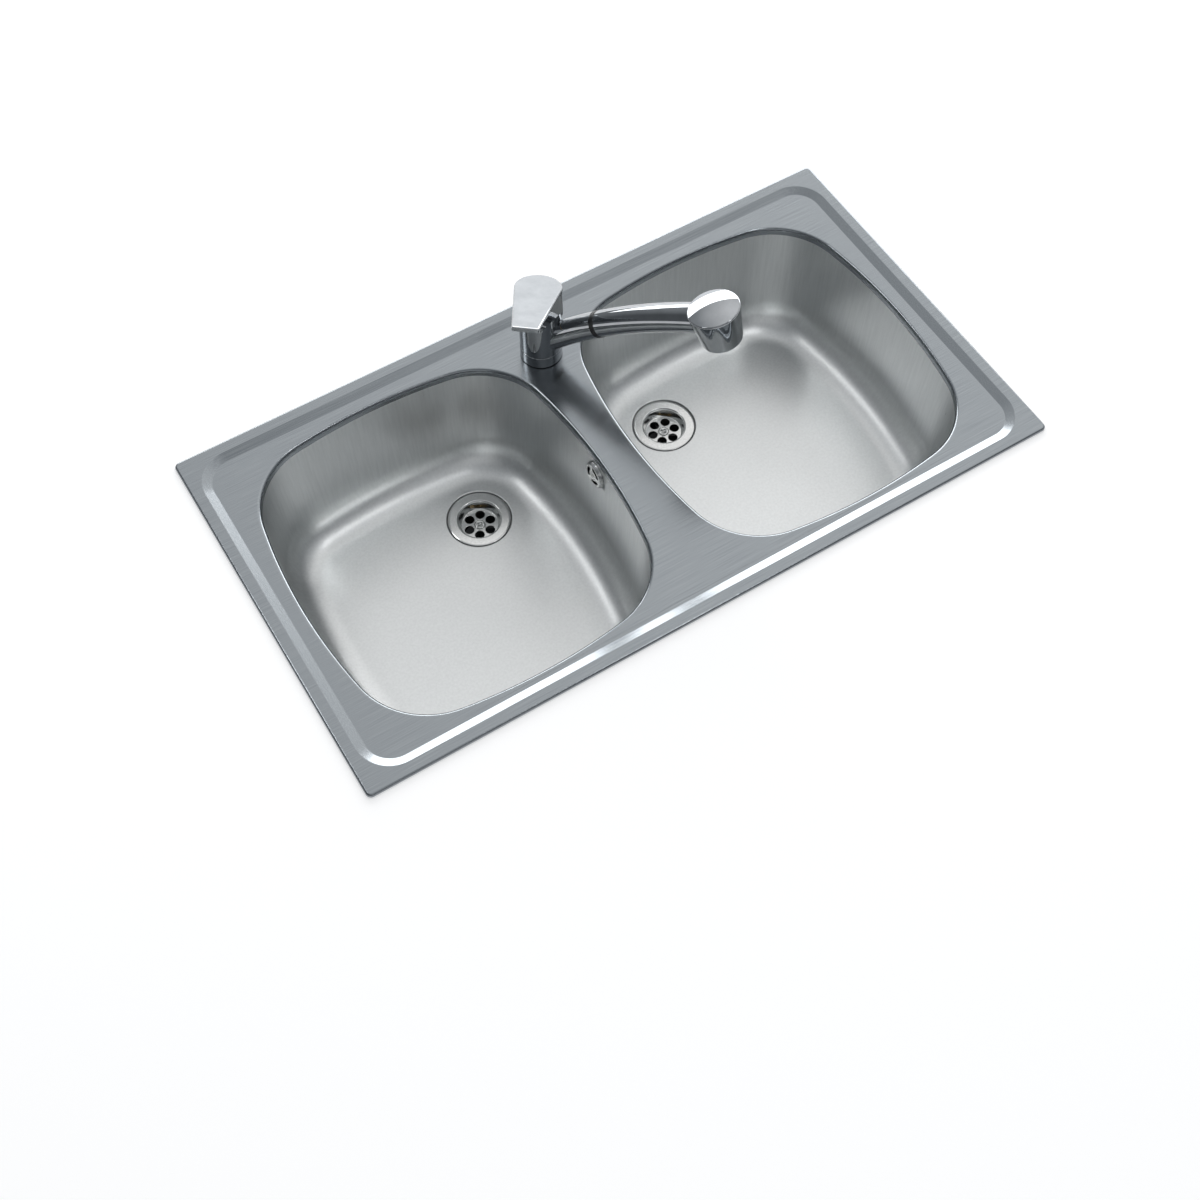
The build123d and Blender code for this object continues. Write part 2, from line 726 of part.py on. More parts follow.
def make_dome():
    """The fixed chromed dome screwed on the core's neck, round inside and out about the lever's pivot."""
    outer = disc(dome_radius, dome_bottom, pivot_height) + Pos(0, 0, pivot_height) * Sphere(dome_radius)
    outer &= disc(dome_radius + 1, dome_bottom, pivot_height + dome_radius + 1)
    inner = disc(neck_radius + fit_gap, dome_bottom - 1, neck_top)
    inner += (Pos(0, 0, pivot_height) * Sphere(dome_radius - dome_wall)) & disc(
        dome_radius, neck_top, pivot_height + dome_radius)
    return outer - inner - disc(dome_opening_radius, pivot_height, pivot_height + 2 * dome_radius)


def make_cartridge():
    """The ceramic cartridge's casing, with the socket in its neck for the driver."""
    body = disc(cartridge_radius, cartridge_floor, cartridge_flange_top)
    body += disc(cartridge_neck_radius, cartridge_flange_top, cartridge_neck_top)
    body -= disc(driver_radius + turning_gap, driver_floor - turning_gap, cartridge_neck_top + 1)
    return body


def make_cartridge_nut():
    """The brass ring nut that holds the cartridge down in the core."""
    top = cartridge_flange_top + nut_height
    return ring(neck_radius - 1.4 - fit_gap, cartridge_neck_radius + fit_gap, cartridge_flange_top, top)


def make_driver():
    """The driver that turns in the cartridge's neck, with the slot and the cross bore for the lever's stem."""
    driver = disc(driver_radius, driver_floor, driver_top)
    slot_bottom = driver_floor + driver_floor_thickness
    slot_width = stem_side + 2 * turning_gap
    driver -= Pos(0, 0, (slot_bottom + driver_top + 1) / 2) * Box(
        2 * driver_radius + 2, slot_width, driver_top + 1 - slot_bottom)
    return lever_place * (driver - pin_frame * disc(lever_pin_radius, -lever_pin_length / 2, lever_pin_length / 2))


def make_lever_pin():
    """The steel pin across the driver on which the stem leans."""
    return lever_place * pin_frame * disc(lever_pin_radius, -lever_pin_length / 2, lever_pin_length / 2)


# ------------------------------------------------------------------ tap, spout and spray head

arc_centre_x = tap_radius + spout_arc_radius * sin(radians(spout_root_slope))
arc_centre_z = spout_root_height - spout_arc_radius * cos(radians(spout_root_slope))


def on_arc(slope):
    """The point of the spout's centre line, in its own upright plane, where it climbs at `slope`."""
    turn = radians(slope)
    return Vector(arc_centre_x - spout_arc_radius * sin(turn), 0, arc_centre_z + spout_arc_radius * cos(turn))


def arc_plane(slope):
    """The plane square to the centre line there, its Z along the flow."""
    turn = radians(slope)
    return Plane(origin=on_arc(slope), x_dir=(0, 1, 0), z_dir=(cos(turn), 0, sin(turn)))


def arc_path(start, end):
    """The stretch of the centre line between two slopes."""
    return ThreePointArc(on_arc(start), on_arc((start + end) / 2), on_arc(end))


def slope_after(slope, length):
    """The slope reached `length` further along the centre line."""
    return slope - degrees(length / spout_arc_radius)


spout_place = tap_axis * Rot(0, 0, spout_azimuth)
nozzle_foot = on_arc(wand_end_slope) + Vector(nozzle_ahead, 0, -nozzle_drop)
nozzle_frame = Pos(nozzle_foot) * Rot(0, -nozzle_tilt, 0)


def make_spout():
    """The turning sleeve and the rising stub that carries the spray head's dock."""
    start = spout_root_slope + 1.2
    sleeve = disc(tap_radius, sleeve_bottom, sleeve_top)
    sleeve += sweep(arc_plane(start) * Circle(spout_radius), arc_path(start, dock_slope))
    sleeve -= sweep(arc_plane(start + 1) * Circle(spout_radius - spout_wall), arc_path(start + 1, dock_slope - 1))
    sleeve -= disc(hub_radius + 2 * turning_gap, sleeve_top, sleeve_top + 50)
    return spout_place * (sleeve - disc(bore_radius, sleeve_bottom - 1, sleeve_top + 1))


def make_dock_ring():
    """The black ring at the stub's mouth, with a bush inside that guides the spray head's spigot."""
    dock = arc_plane(dock_slope).location
    body = disc(spout_radius + dock_ring_proud, 0, dock_ring_width)
    body += disc(spout_radius - spout_wall - 0.5, -dock_bush_length, 0)
    body -= disc(spigot_tube_radius + ring_play, -dock_bush_length - 1, dock_ring_width + 1)
    return spout_place * dock * body


def wand_form(wall):
    """The head's wand with its skin moved in by `wall`: round sections that grow along the arc."""
    dock = arc_plane(dock_slope)
    start = dock.origin + dock.z_dir * (dock_ring_width + dock_gap + wall)
    begin = slope_after(dock_slope, dock_ring_width)
    sections = [Plane(origin=start, x_dir=(0, 1, 0), z_dir=dock.z_dir) * Circle(spout_radius - wall)]
    for i in range(1, wand_sections + 1):
        share = i / wand_sections
        slope = begin + (wand_end_slope - begin) * share
        radius = spout_radius + (wand_end_radius - spout_radius) * share
        sections += [arc_plane(slope) * Circle(radius - wall)]
    return loft(sections)


def bell_form(foot, foot_radius, top_radius, top):
    """The nozzle's bell: a cone that widens upwards, under a crown that is part of a large sphere."""
    crown_top = top + head_crown
    sphere = (top_radius ** 2 + head_crown ** 2) / (2 * head_crown)
    half = top_radius / 2
    shoulder = crown_top - sphere + sqrt(sphere ** 2 - half ** 2)
    section = make_face([
        Line((0, foot), (foot_radius, foot)),
        Line((foot_radius, foot), (top_radius, top)),
        ThreePointArc((top_radius, top), (half, shoulder), (0, crown_top)),
        Line((0, crown_top), (0, foot))])
    return revolve(Plane.XZ * section, Axis.Z)


def make_spray_head():
    """The hollow pull-out head: spigot with its hose thread, a wand that widens, and the nozzle's bell."""
    bell = bell_form(0, nozzle_radius, head_radius, head_height)
    bell = fillet(bell.edges().filter_by(GeomType.CIRCLE), head_edge)
    spigot = arc_plane(dock_slope).location * Pos(0, 0, dock_ring_width + dock_gap)
    foot = -spigot_tube_length - hose_thread_length
    tube = disc(spigot_tube_radius, -spigot_tube_length, head_wall / 2)
    tube += disc(hose_thread_radius, foot, -spigot_tube_length)
    skin = wand_form(0) + nozzle_frame * bell + spigot * tube

    # The spigot's bore leads the water into the hollow, which the face closes.
    face_seat = face_recess + face_thickness
    hollow = bell_form(face_seat, face_radius - face_ledge, head_radius - head_wall, head_height - head_wall)
    water = wand_form(head_wall) + nozzle_frame * hollow
    water += spigot * disc(hose_thread_radius - hose_thread_wall, foot - 1, head_wall + 1)
    water += nozzle_frame * disc(face_radius + fit_gap, -1, face_seat)
    return spout_place * (skin - water)


def make_spray_face():
    """The insert with the jets, flush-set in the nozzle."""
    face = disc(face_radius, face_recess, face_recess + face_thickness)
    for spin in polar(jet_count):
        face -= spin * Pos(jet_circle, 0, 0) * disc(jet_radius, face_recess - 1, face_recess + face_thickness - 0.6)
    return spout_place * nozzle_frame * face


# ------------------------------------------------------------------ tap, lever

def lever_slab(*points):
    """A slab wider than the lever, from its outline in the upright plane along the blade."""
    return extrude(make_face(Plane.XZ * Polyline(*points, close=True)), hub_radius + 5, both=True)


def lever_blade():
    """The flat blade, which seen from above runs straight from the tip and closes round the hub."""
    top_slope = tan(radians(lever_rise))
    tip_foot = lever_tip_height - lever_tip_thickness
    under_slope = (tip_foot - hub_under_blade) / (lever_reach - hub_radius)
    side = lever_slab((-hub_radius, hub_rim_back), (0, hub_under_blade - hub_radius * under_slope),
                      (lever_reach, tip_foot), (lever_reach, lever_tip_height),
                      (-hub_radius, lever_tip_height - (lever_reach + hub_radius) * top_slope))
    half_tip = lever_tip_width / 2
    lean = atan2(hub_radius - half_tip, lever_reach)
    touch_x = hub_radius * sin(lean)
    touch_y = hub_radius * cos(lean)
    plan = make_face([
        ThreePointArc((touch_x, touch_y), (-hub_radius, 0), (touch_x, -touch_y)),
        Line((touch_x, -touch_y), (lever_reach, -half_tip)),
        Line((lever_reach, -half_tip), (lever_reach, half_tip)),
        Line((lever_reach, half_tip), (touch_x, touch_y))])
    blade = side & extrude(Pos(0, 0, hub_rim_front) * plan, lever_tip_height)
    tip_corners = blade.edges().filter_by(lambda e: abs(e.center().X - lever_reach) < 0.01
                                          and abs(abs(e.center().Y) - half_tip) < 0.01)
    blade = fillet(tip_corners, lever_tip_corner)
    crown = blade.faces().filter_by(lambda f: f.normal_at().Z > 0.5).sort_by(SortBy.AREA)[-1]
    return fillet(crown.edges(), lever_edge)


def make_lever():
    """The lever: a round hub with a sloping rim, hollowed to clear the dome, and the blade on it."""
    hub = lever_slab((-hub_radius, hub_rim_back), (hub_radius, hub_rim_front),
                     (hub_radius, hub_under_blade + lever_edge), (-hub_radius, hub_rim_back + lever_edge))
    lever = lever_blade() + (hub & disc(hub_radius, hub_rim_front - 1, lever_tip_height))
    lever -= Pos(0, 0, pivot_height) * Sphere(dome_radius + hub_gap)
    lever -= disc(dome_radius + hub_gap, hub_rim_front - 5, pivot_height)
    lever -= Pos(0, 0, (pivot_height + stem_top) / 2) * Box(
        stem_side + 2 * fit_gap, stem_side + 2 * fit_gap, stem_top - pivot_height)
    screw_hole = Pos(-hub_radius, 0, lever_screw_height) * Rot(0, 90, 0)
    lever -= screw_hole * disc(lever_screw_radius + fit_gap, 0, hub_radius - stem_side / 2)
    lever -= screw_hole * disc(lever_plug_radius + fit_gap, -5, lever_plug_length)
    return lever_place * lever


def make_stem():
    """The square stem that the lever clamps, its rounded foot bored for the driver's pin."""
    stem = Pos(0, 0, (pivot_height + stem_top) / 2) * Box(stem_side, stem_side, stem_top - pivot_height)
    stem += pin_frame * disc(stem_side / 2, -stem_side / 2, stem_side / 2)
    return lever_place * (stem - pin_frame * disc(lever_pin_radius + ring_play, -stem_side, stem_side))


def make_lever_screw():
    """The grub screw that holds the lever on its stem."""
    start = hub_radius - stem_side / 2 - lever_screw_length
    frame = Pos(-hub_radius, 0, lever_screw_height) * Rot(0, 90, 0)
    screw = disc(lever_screw_radius, start, start + lever_screw_length)
    socket = Pos(0, 0, start) * extrude(RegularPolygon(1.25, 6, major_radius=False), 2.0)
    return lever_place * frame * (screw - socket)


def make_lever_plug():
    """The small plug that covers the grub screw and carries the hot and cold mark."""
    frame = Pos(-hub_radius, 0, lever_screw_height) * Rot(0, 90, 0)
    return lever_place * frame * disc(lever_plug_radius, 0.2, lever_plug_length)


# ------------------------------------------------------------------ all pieces

parts["sink_deck"] = make_deck()
parts["rim_seal"] = make_rim_seal()
strainer_turns = {"left": 0.0, "right": -10.0}
for side in ("left", "right"):
    parts[f"{side}_bowl"] = make_bowl(side)
    parts[f"{side}_sound_pad"] = make_sound_pad(side)
    waste = Pos(waste_x(side), waste_y, 0)
    parts[f"{side}_waste_strainer"] = waste * make_strainer(strainer_turns[side])
    parts[f"{side}_waste_screw"] = waste * make_waste_screw()
    parts[f"{side}_waste_upper_seal"] = waste * make_upper_seal()
    parts[f"{side}_waste_lower_seal"] = waste * make_lower_seal()
    parts[f"{side}_waste_cup"] = waste * make_waste_cup(side == "left")
    parts[f"{side}_waste_insert"] = waste * make_waste_insert()

parts["overflow_rose"] = make_overflow_rose()
parts["overflow_screw"] = make_overflow_screw()
parts["overflow_seal"] = make_overflow_seal()
parts["overflow_elbow"] = make_overflow_elbow()

parts["clip_brackets"] = at_stations(make_clip_bracket())
parts["clip_claws"] = at_stations(make_clip_claw())
parts["clip_screws"] = at_stations(make_clip_screw())

washer_top = deck_level - sheet
steel_top = washer_top - washer_rubber_thickness
parts["tap_seal"] = tap_axis * make_tap_seal()
parts["tap_base_ring"] = tap_axis * make_base_ring()
parts["tap_core"] = tap_axis * make_core()
parts["tap_slide_rings"] = tap_axis * make_slide_rings()
parts["tap_shank"] = tap_axis * make_shank()
parts["tap_rubber_washer"] = tap_axis * ring(washer_radius, shank_radius + fit_gap, steel_top, washer_top)
parts["tap_steel_washer"] = tap_axis * ring(washer_radius, shank_radius + fit_gap,
                                            steel_top - washer_steel_thickness, steel_top)
parts["tap_back_nut"] = tap_axis * make_back_nut()
parts["tap_dome"] = tap_axis * make_dome()
parts["cartridge"] = tap_axis * make_cartridge()
parts["cartridge_nut"] = tap_axis * make_cartridge_nut()
parts["cartridge_driver"] = make_driver()
parts["lever_pin"] = make_lever_pin()
parts["swivel_spout"] = make_spout()
parts["spray_dock_ring"] = make_dock_ring()
parts["spray_head"] = make_spray_head()
parts["spray_face"] = make_spray_face()
parts["mixer_lever"] = make_lever()
parts["lever_stem"] = make_stem()
parts["lever_screw"] = make_lever_screw()
parts["lever_plug"] = make_lever_plug()

os.makedirs("parts", exist_ok=True)
for name, shape in parts.items():
    export_step(shape, f"parts/{name}.step")
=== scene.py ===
from math import acos, atan, atan2, cos, hypot, pi, radians, sin, sqrt, tan

import bmesh
import bpy
from mathutils import Matrix, Vector
from mathutils.geometry import tessellate_polygon


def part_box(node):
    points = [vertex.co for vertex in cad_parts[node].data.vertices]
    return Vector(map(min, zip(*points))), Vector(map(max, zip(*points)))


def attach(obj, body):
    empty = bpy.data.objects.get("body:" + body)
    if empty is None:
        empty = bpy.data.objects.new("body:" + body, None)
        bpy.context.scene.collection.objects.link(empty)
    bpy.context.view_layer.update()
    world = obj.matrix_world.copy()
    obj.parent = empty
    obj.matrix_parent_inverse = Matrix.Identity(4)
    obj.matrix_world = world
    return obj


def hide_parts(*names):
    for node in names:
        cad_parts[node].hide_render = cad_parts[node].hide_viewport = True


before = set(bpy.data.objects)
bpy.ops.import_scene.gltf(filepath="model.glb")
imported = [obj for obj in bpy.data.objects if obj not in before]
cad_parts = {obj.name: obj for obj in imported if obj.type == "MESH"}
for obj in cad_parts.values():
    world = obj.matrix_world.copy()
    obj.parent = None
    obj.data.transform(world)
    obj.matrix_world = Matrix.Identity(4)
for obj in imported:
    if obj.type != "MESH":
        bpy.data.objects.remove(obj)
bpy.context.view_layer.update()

# ==================================================================== top sheet
# One sheet of 0.8 mm stainless steel, pressed into a raised rim, a sloping step and a flat deck.
# Two openings are rolled down for the bowls, and a hole is pierced for the tap.

# Lengths are in millimetres and angles in degrees, unless a comment says otherwise.
sheet = 0.8
deck_length = 800.0
deck_width = 435.0
deck_corner = 6.0
least_corner = 0.4
rim_height = 4.0
rim_bend = 2.5
rim_zone = 8.0
edge_gap = 0.5
step_start = 13.0
step_foot = 22.8
step_margin = 4.0
step_corner = 51.0
step_bend = 2.0
tap_y = 147.5
tap_hole = 17.5
bowl_x = {"left": -191.4, "right": 191.4}
bowl_y = -3.0
bowl_half_x = 173.7
bowl_half_y = 186.4
bowl_side = 610.0
bowl_corner = 89.0
bowl_roll = 4.0
roll_margin = 1.5
weld_level = -9.0
quarters = ((1, 1), (-1, 1), (-1, -1), (1, -1))
# Every surface has clouds at this rate per metre, and a grain of at most this height in metres.
cloud_rate = 9.0
grain_height = 0.0002


def linear(hex_colour):
    """An sRGB hex colour as linear RGBA."""
    channels = [int(hex_colour[i:i + 2], 16) / 255 for i in (1, 3, 5)]
    return [c / 12.92 if c <= 0.04045 else ((c + 0.055) / 1.055) ** 2.4 for c in channels] + [1.0]


def add(tree, kind, inputs=None, **settings):
    """One node with its settings, its input values and the links into it."""
    made = tree.nodes.new(kind)
    for key, value in settings.items():
        setattr(made, key, value)
    for key, value in (inputs or {}).items():
        if isinstance(value, bpy.types.NodeSocket):
            tree.links.new(value, made.inputs[key])
        else:
            made.inputs[key].default_value = value
    return made


def ramp(tree, factor, stops):
    """The colour that a ramp through (position, hex colour) stops gives for a factor."""
    made = add(tree, "ShaderNodeValToRGB", {"Fac": factor})
    elements = made.color_ramp.elements
    elements[0].position = stops[0][0]
    elements[1].position = stops[-1][0]
    for stop in stops[1:-1]:
        elements.new(stop[0])
    for element, stop in zip(elements, stops):
        element.color = linear(stop[1])
    return made.outputs["Color"]


def new_material(name, values):
    """A material with its Principled shader's own values set, its tree and that shader."""
    material = bpy.data.materials.new(name)
    material.use_nodes = True
    shader = material.node_tree.nodes["Principled BSDF"]
    for key, value in values.items():
        shader.inputs[key].default_value = value
    return material, material.node_tree, shader


def surface(name, colour, pale, roughness, spread, grain, depth, metallic=1.0, **fixed):
    """A surface whose grain has the given rates along X, Y and Z, in lines per millimetre.

    Fine grain shifts the colour and lifts the surface; with a slow cloud it also shifts the roughness."""
    material, tree, shader = new_material(name, {"Metallic": metallic, **fixed})
    place = add(tree, "ShaderNodeTexCoord").outputs["Object"]
    lines = add(tree, "ShaderNodeMapping", {"Vector": place, "Scale": [1000 * g for g in grain]})
    fine = add(tree, "ShaderNodeTexNoise", {"Vector": lines.outputs[0], "Scale": 1.0, "Detail": 3.0,
                                            "Roughness": 0.6}).outputs["Fac"]
    cloud = add(tree, "ShaderNodeTexNoise", {"Vector": place, "Scale": cloud_rate, "Detail": 3.0,
                                             "Roughness": 0.5}).outputs["Fac"]
    both = add(tree, "ShaderNodeMath", {0: fine, 1: cloud}, operation="ADD")
    rough = add(tree, "ShaderNodeMapRange", {"Value": both.outputs[0], "From Min": 0.6, "From Max": 1.4,
                                             "To Min": roughness - spread, "To Max": roughness + spread})
    bump = add(tree, "ShaderNodeBump", {"Strength": depth, "Distance": grain_height, "Height": fine})
    tree.links.new(ramp(tree, fine, [(0.3, colour), (0.7, pale)]), shader.inputs["Base Color"])
    tree.links.new(rough.outputs["Result"], shader.inputs["Roughness"])
    tree.links.new(bump.outputs["Normal"], shader.inputs["Normal"])
    return material


def bent(corners, steps=6):
    """A line through (x, y, radius) corners with each corner rounded, and a point kept close on both sides
    of each bend so that the flats beside it shade flat."""
    line = [Vector(corners[0][:2])]
    for before, here, after in zip(corners, corners[1:], corners[2:]):
        corner = Vector(here[:2])
        radius = here[2]
        if radius <= 0:
            line += [corner]
            continue
        back = (Vector(before[:2]) - corner).normalized()
        ahead = (Vector(after[:2]) - corner).normalized()
        half = acos(max(-1.0, min(1.0, back.dot(ahead)))) / 2
        run = radius / tan(half)
        centre = corner + (back + ahead).normalized() * (radius / sin(half))
        start = corner + back * run
        end = corner + ahead * run
        keep = 0.12 * radius
        line += [start + back * keep]
        first = start - centre
        last = end - centre
        sweep = first.angle_signed(last)
        for i in range(steps + 1):
            turn = -sweep * i / steps
            line += [centre + Vector((first.x * cos(turn) - first.y * sin(turn),
                                      first.x * sin(turn) + first.y * cos(turn)))]
        line += [end + ahead * keep]
    return line + [Vector(corners[-1][:2])]


def ring(mesh, points):
    """A closed ring of new vertices."""
    return [mesh.verts.new(p) for p in points]


def bridge(mesh, a, b):
    """Faces between two rings; a ring of one vertex is a pole."""
    count = max(len(a), len(b))
    for i in range(count):
        j = (i + 1) % count
        if len(a) == 1:
            mesh.faces.new((a[0], b[j], b[i]))
        elif len(b) == 1:
            mesh.faces.new((a[i], a[j], b[0]))
        else:
            mesh.faces.new((a[i], a[j], b[j], b[i]))


def chain(mesh, rings, closed=False):
    """Faces between each ring and the next."""
    for a, b in zip(rings, rings[1:]):
        bridge(mesh, a, b)
    if closed:
        bridge(mesh, rings[-1], rings[0])


def flat_fill(mesh, outline, holes=()):
    """Triangles over a flat region between an outline and the holes in it, all rings of the mesh."""
    loops = [outline, *holes]
    corners = [v for loop in loops for v in loop]
    for triangle in tessellate_polygon([[v.co for v in loop] for loop in loops]):
        mesh.faces.new([corners[i] for i in triangle])


def finished(mesh, name, material, sharp=38.0):
    """The piece as an object in metres, its faces turned outwards and shaded smooth up to `sharp`."""
    bmesh.ops.remove_doubles(mesh, verts=mesh.verts, dist=0.0005)
    bmesh.ops.recalc_face_normals(mesh, faces=mesh.faces)
    bmesh.ops.scale(mesh, verts=mesh.verts, vec=(0.001, 0.001, 0.001))
    data = bpy.data.meshes.new(name)
    mesh.to_mesh(data)
    mesh.free()
    data.shade_smooth()
    data.set_sharp_from_angle(angle=radians(sharp))
    data.materials.append(material)
    piece = bpy.data.objects.new(name, data)
    bpy.context.scene.collection.objects.link(piece)
    return piece


def rounded_rectangle(inset, level, arc=14):
    """A ring at `inset` from the deck's edge; inside the rim its corners are those of the step."""
    radius = max(deck_corner - inset, least_corner) if inset < rim_zone else step_corner - inset
    half_x = deck_length / 2 - inset - radius
    half_y = deck_width / 2 - inset - radius
    points = []
    for quarter, (sx, sy) in enumerate(quarters):
        for i in range(arc + 1):
            turn = (quarter + i / arc) * pi / 2
            points += [(sx * half_x + radius * cos(turn), sy * half_y + radius * sin(turn), level)]
    return points


def bowl_ring(side, grow, level, arc=22):
    """A ring of a bowl's outline, `grow` outside its opening: four shallow side arcs and four corners."""
    cx = bowl_half_x - bowl_side
    cy = bowl_half_y - bowl_side
    reach = bowl_side - bowl_corner
    gap = hypot(cx, cy)
    lift = sqrt(reach ** 2 - (gap / 2) ** 2)
    corner = Vector((cx / 2 - lift * cy / gap, cy / 2 - lift * cx / gap))
    side_end = atan2(corner.y, corner.x - cx)
    corner_end = atan2(corner.y - cy, corner.x)
    side_radius = bowl_side + grow
    corner_radius = bowl_corner + grow
    points = []
    for quarter, (sx, sy) in enumerate(quarters):
        outline = []
        for i in range(arc // 2):
            turn = side_end * i / (arc // 2)
            outline += [(cx + side_radius * cos(turn), side_radius * sin(turn))]
        for i in range(arc):
            turn = side_end + (corner_end - side_end) * i / arc
            outline += [(corner.x + corner_radius * cos(turn), corner.y + corner_radius * sin(turn))]
        for i in range(arc // 2):
            turn = corner_end + (pi / 2 - corner_end) * i / (arc // 2)
            outline += [(side_radius * cos(turn), cy + side_radius * sin(turn))]
        outline += [(0.0, bowl_half_y + grow)]
        if quarter % 2:
            outline.reverse()
        points += [(sx * x, sy * y) for x, y in outline[:-1]]
    return [(bowl_x[side] + x, bowl_y + y, level) for x, y in points]


def circle(radius, level, centre=(0.0, 0.0), count=96):
    """A ring round a vertical axis."""
    return [(centre[0] + radius * cos(2 * pi * i / count),
             centre[1] + radius * sin(2 * pi * i / count), level) for i in range(count)]


def deck_skin(mesh, inset):
    """One face of the sheet: its first ring, the end of each opening's roll and the tap hole's ring."""
    shift = inset * tan(atan(rim_height / (step_foot - step_start)) / 2)
    profile = bent([(inset, edge_gap, 0), (inset, rim_height - inset, rim_bend - inset),
                    (step_start - shift, rim_height - inset, step_bend - inset),
                    (step_foot - shift, -inset, step_bend + inset), (step_foot + step_margin, -inset, 0)])
    rim = [ring(mesh, rounded_rectangle(p.x, p.y)) for p in profile]
    chain(mesh, rim)
    roll = bent([(roll_margin, -inset, 0), (inset - bowl_roll, -inset, bowl_roll - inset),
                 (inset - bowl_roll, weld_level, 0)], steps=10)
    openings = {}
    for side in bowl_x:
        openings[side] = [ring(mesh, bowl_ring(side, p.x, p.y)) for p in roll]
        chain(mesh, openings[side])
    hole = ring(mesh, circle(tap_hole, -inset, (0, tap_y)))
    flat_fill(mesh, rim[-1], [openings["left"][0], openings["right"][0], hole])
    return rim[0], openings["left"][-1], openings["right"][-1], hole


deck_mesh = bmesh.new()
for upper, lower in zip(deck_skin(deck_mesh, 0.0), deck_skin(deck_mesh, sheet)):
    bridge(deck_mesh, upper, lower)

# Satin stainless sheet: fine grit lines along the sink draw its highlights out into soft streaks. Real
# lines are too fine to show, so they are drawn far coarser, at 2 per millimetre and about 60 mm long.
deck_steel = surface("satin_stainless_sheet", "#868B90", "#9A9FA2", roughness=0.21, spread=0.02,
                     grain=(0.016, 2.0, 2.0), depth=0.05, Anisotropic=0.3)
deck = finished(deck_mesh, "pressed_top_sheet", deck_steel)
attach(deck, "sink")
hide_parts("sink_deck")

# ==================================================================== bowls
# Each bowl is deep-drawn from one blank, trimmed and butt-welded under the opening's skirt, with the
# weld ground away. Its walls lean 3 degrees, and a seat for the waste is pressed into the floor.

bowl_depth = 150.0
wall_draft = 3.0
wall_lean = tan(radians(wall_draft))
wall_rows = 10
floor_bend = 40.0
floor_margin = 60.0
seat_radius = 36.2
seat_drop = 2.6
seat_edge = 1.2
seat_slope = 0.6
seat_margin = 4.0
waste_hole = 28.5
waste_x = {"left": -123.2, "right": 123.2}
waste_y = 85.1
overflow_hole = 12.5
overflow_level = -27.5
cutter_reach = 10.0
# Heights in metres between which the floor's even satin gives way to the wall's shine.
satin_level = -0.145
shine_level = -0.09
wall_shine = 0.82


def turned(mesh, corners, place=Matrix(), count=96, steps=5, closed=False):
    """The rings of a form turned about Z from (radius, height, bend) corners; a radius of 0 is a pole."""
    rings = [ring(mesh, [(0, 0, p.y)] if p.x < 0.001 else circle(p.x, p.y, count=count))
             for p in bent(corners, steps)]
    chain(mesh, rings, closed)
    bmesh.ops.transform(mesh, matrix=place, verts=[v for loop in rings for v in loop])
    return rings


def capped(mesh, rings):
    """A solid through the rings, with a flat face at each end."""
    chain(mesh, rings)
    mesh.faces.new(rings[0])
    mesh.faces.new(rings[-1])


def rod(name, radius, start, end, place, material, count=64):
    """A round solid along Z of a frame, used to cut."""
    mesh = bmesh.new()
    capped(mesh, [ring(mesh, circle(radius, level, count=count)) for level in (start, end)])
    bmesh.ops.transform(mesh, matrix=place, verts=mesh.verts)
    return finished(mesh, name, material)


def made_plain(piece):
    """Turns the piece's modifiers into its own mesh."""
    graph = bpy.context.evaluated_depsgraph_get()
    data = bpy.data.meshes.new_from_object(piece.evaluated_get(graph))
    piece.modifiers.clear()
    old = piece.data
    piece.data = data
    bpy.data.meshes.remove(old)
    data.name = piece.name


def combined(piece, other, operation):
    """Joins the other solid to the piece or takes it out of it, and removes the other."""
    trim = piece.modifiers.new("combine", "BOOLEAN")
    trim.object = other
    trim.operation = operation
    trim.solver = "EXACT"
    made_plain(piece)
    bpy.data.objects.remove(other)


def cut(piece, cutter):
    """Takes the cutter's solid out of the piece."""
    combined(piece, cutter, "DIFFERENCE")


def bowl_skin(mesh, side, grow):
    """One face of a bowl: its ring at the weld and its ring at the waste hole."""
    floor_level = -bowl_depth - grow
    foot = grow - bowl_roll - (weld_level + bowl_depth) * wall_lean
    line = bent([(grow - bowl_roll, weld_level, 0), (foot, floor_level, floor_bend + grow),
                 (foot - floor_margin, floor_level, 0)], steps=18)
    # The wall is cut into rows, so that the overflow hole finds faces of even size.
    wall = [line[0].lerp(line[1], i / wall_rows) for i in range(wall_rows)]
    rings = [ring(mesh, bowl_ring(side, p.x, p.y)) for p in wall + line[1:-1]]
    chain(mesh, rings)
    seat_level = floor_level - seat_drop
    seat = turned(mesh, [(seat_radius + seat_margin + grow, floor_level, 0),
                         (seat_radius + seat_slope + grow, floor_level, seat_edge - grow),
                         (seat_radius + grow, seat_level, seat_edge + grow), (waste_hole, seat_level, 0)],
                  Matrix.Translation((waste_x[side], waste_y, 0)), steps=6)
    flat_fill(mesh, rings[-1], [seat[0]])
    return rings[0], seat[-1]


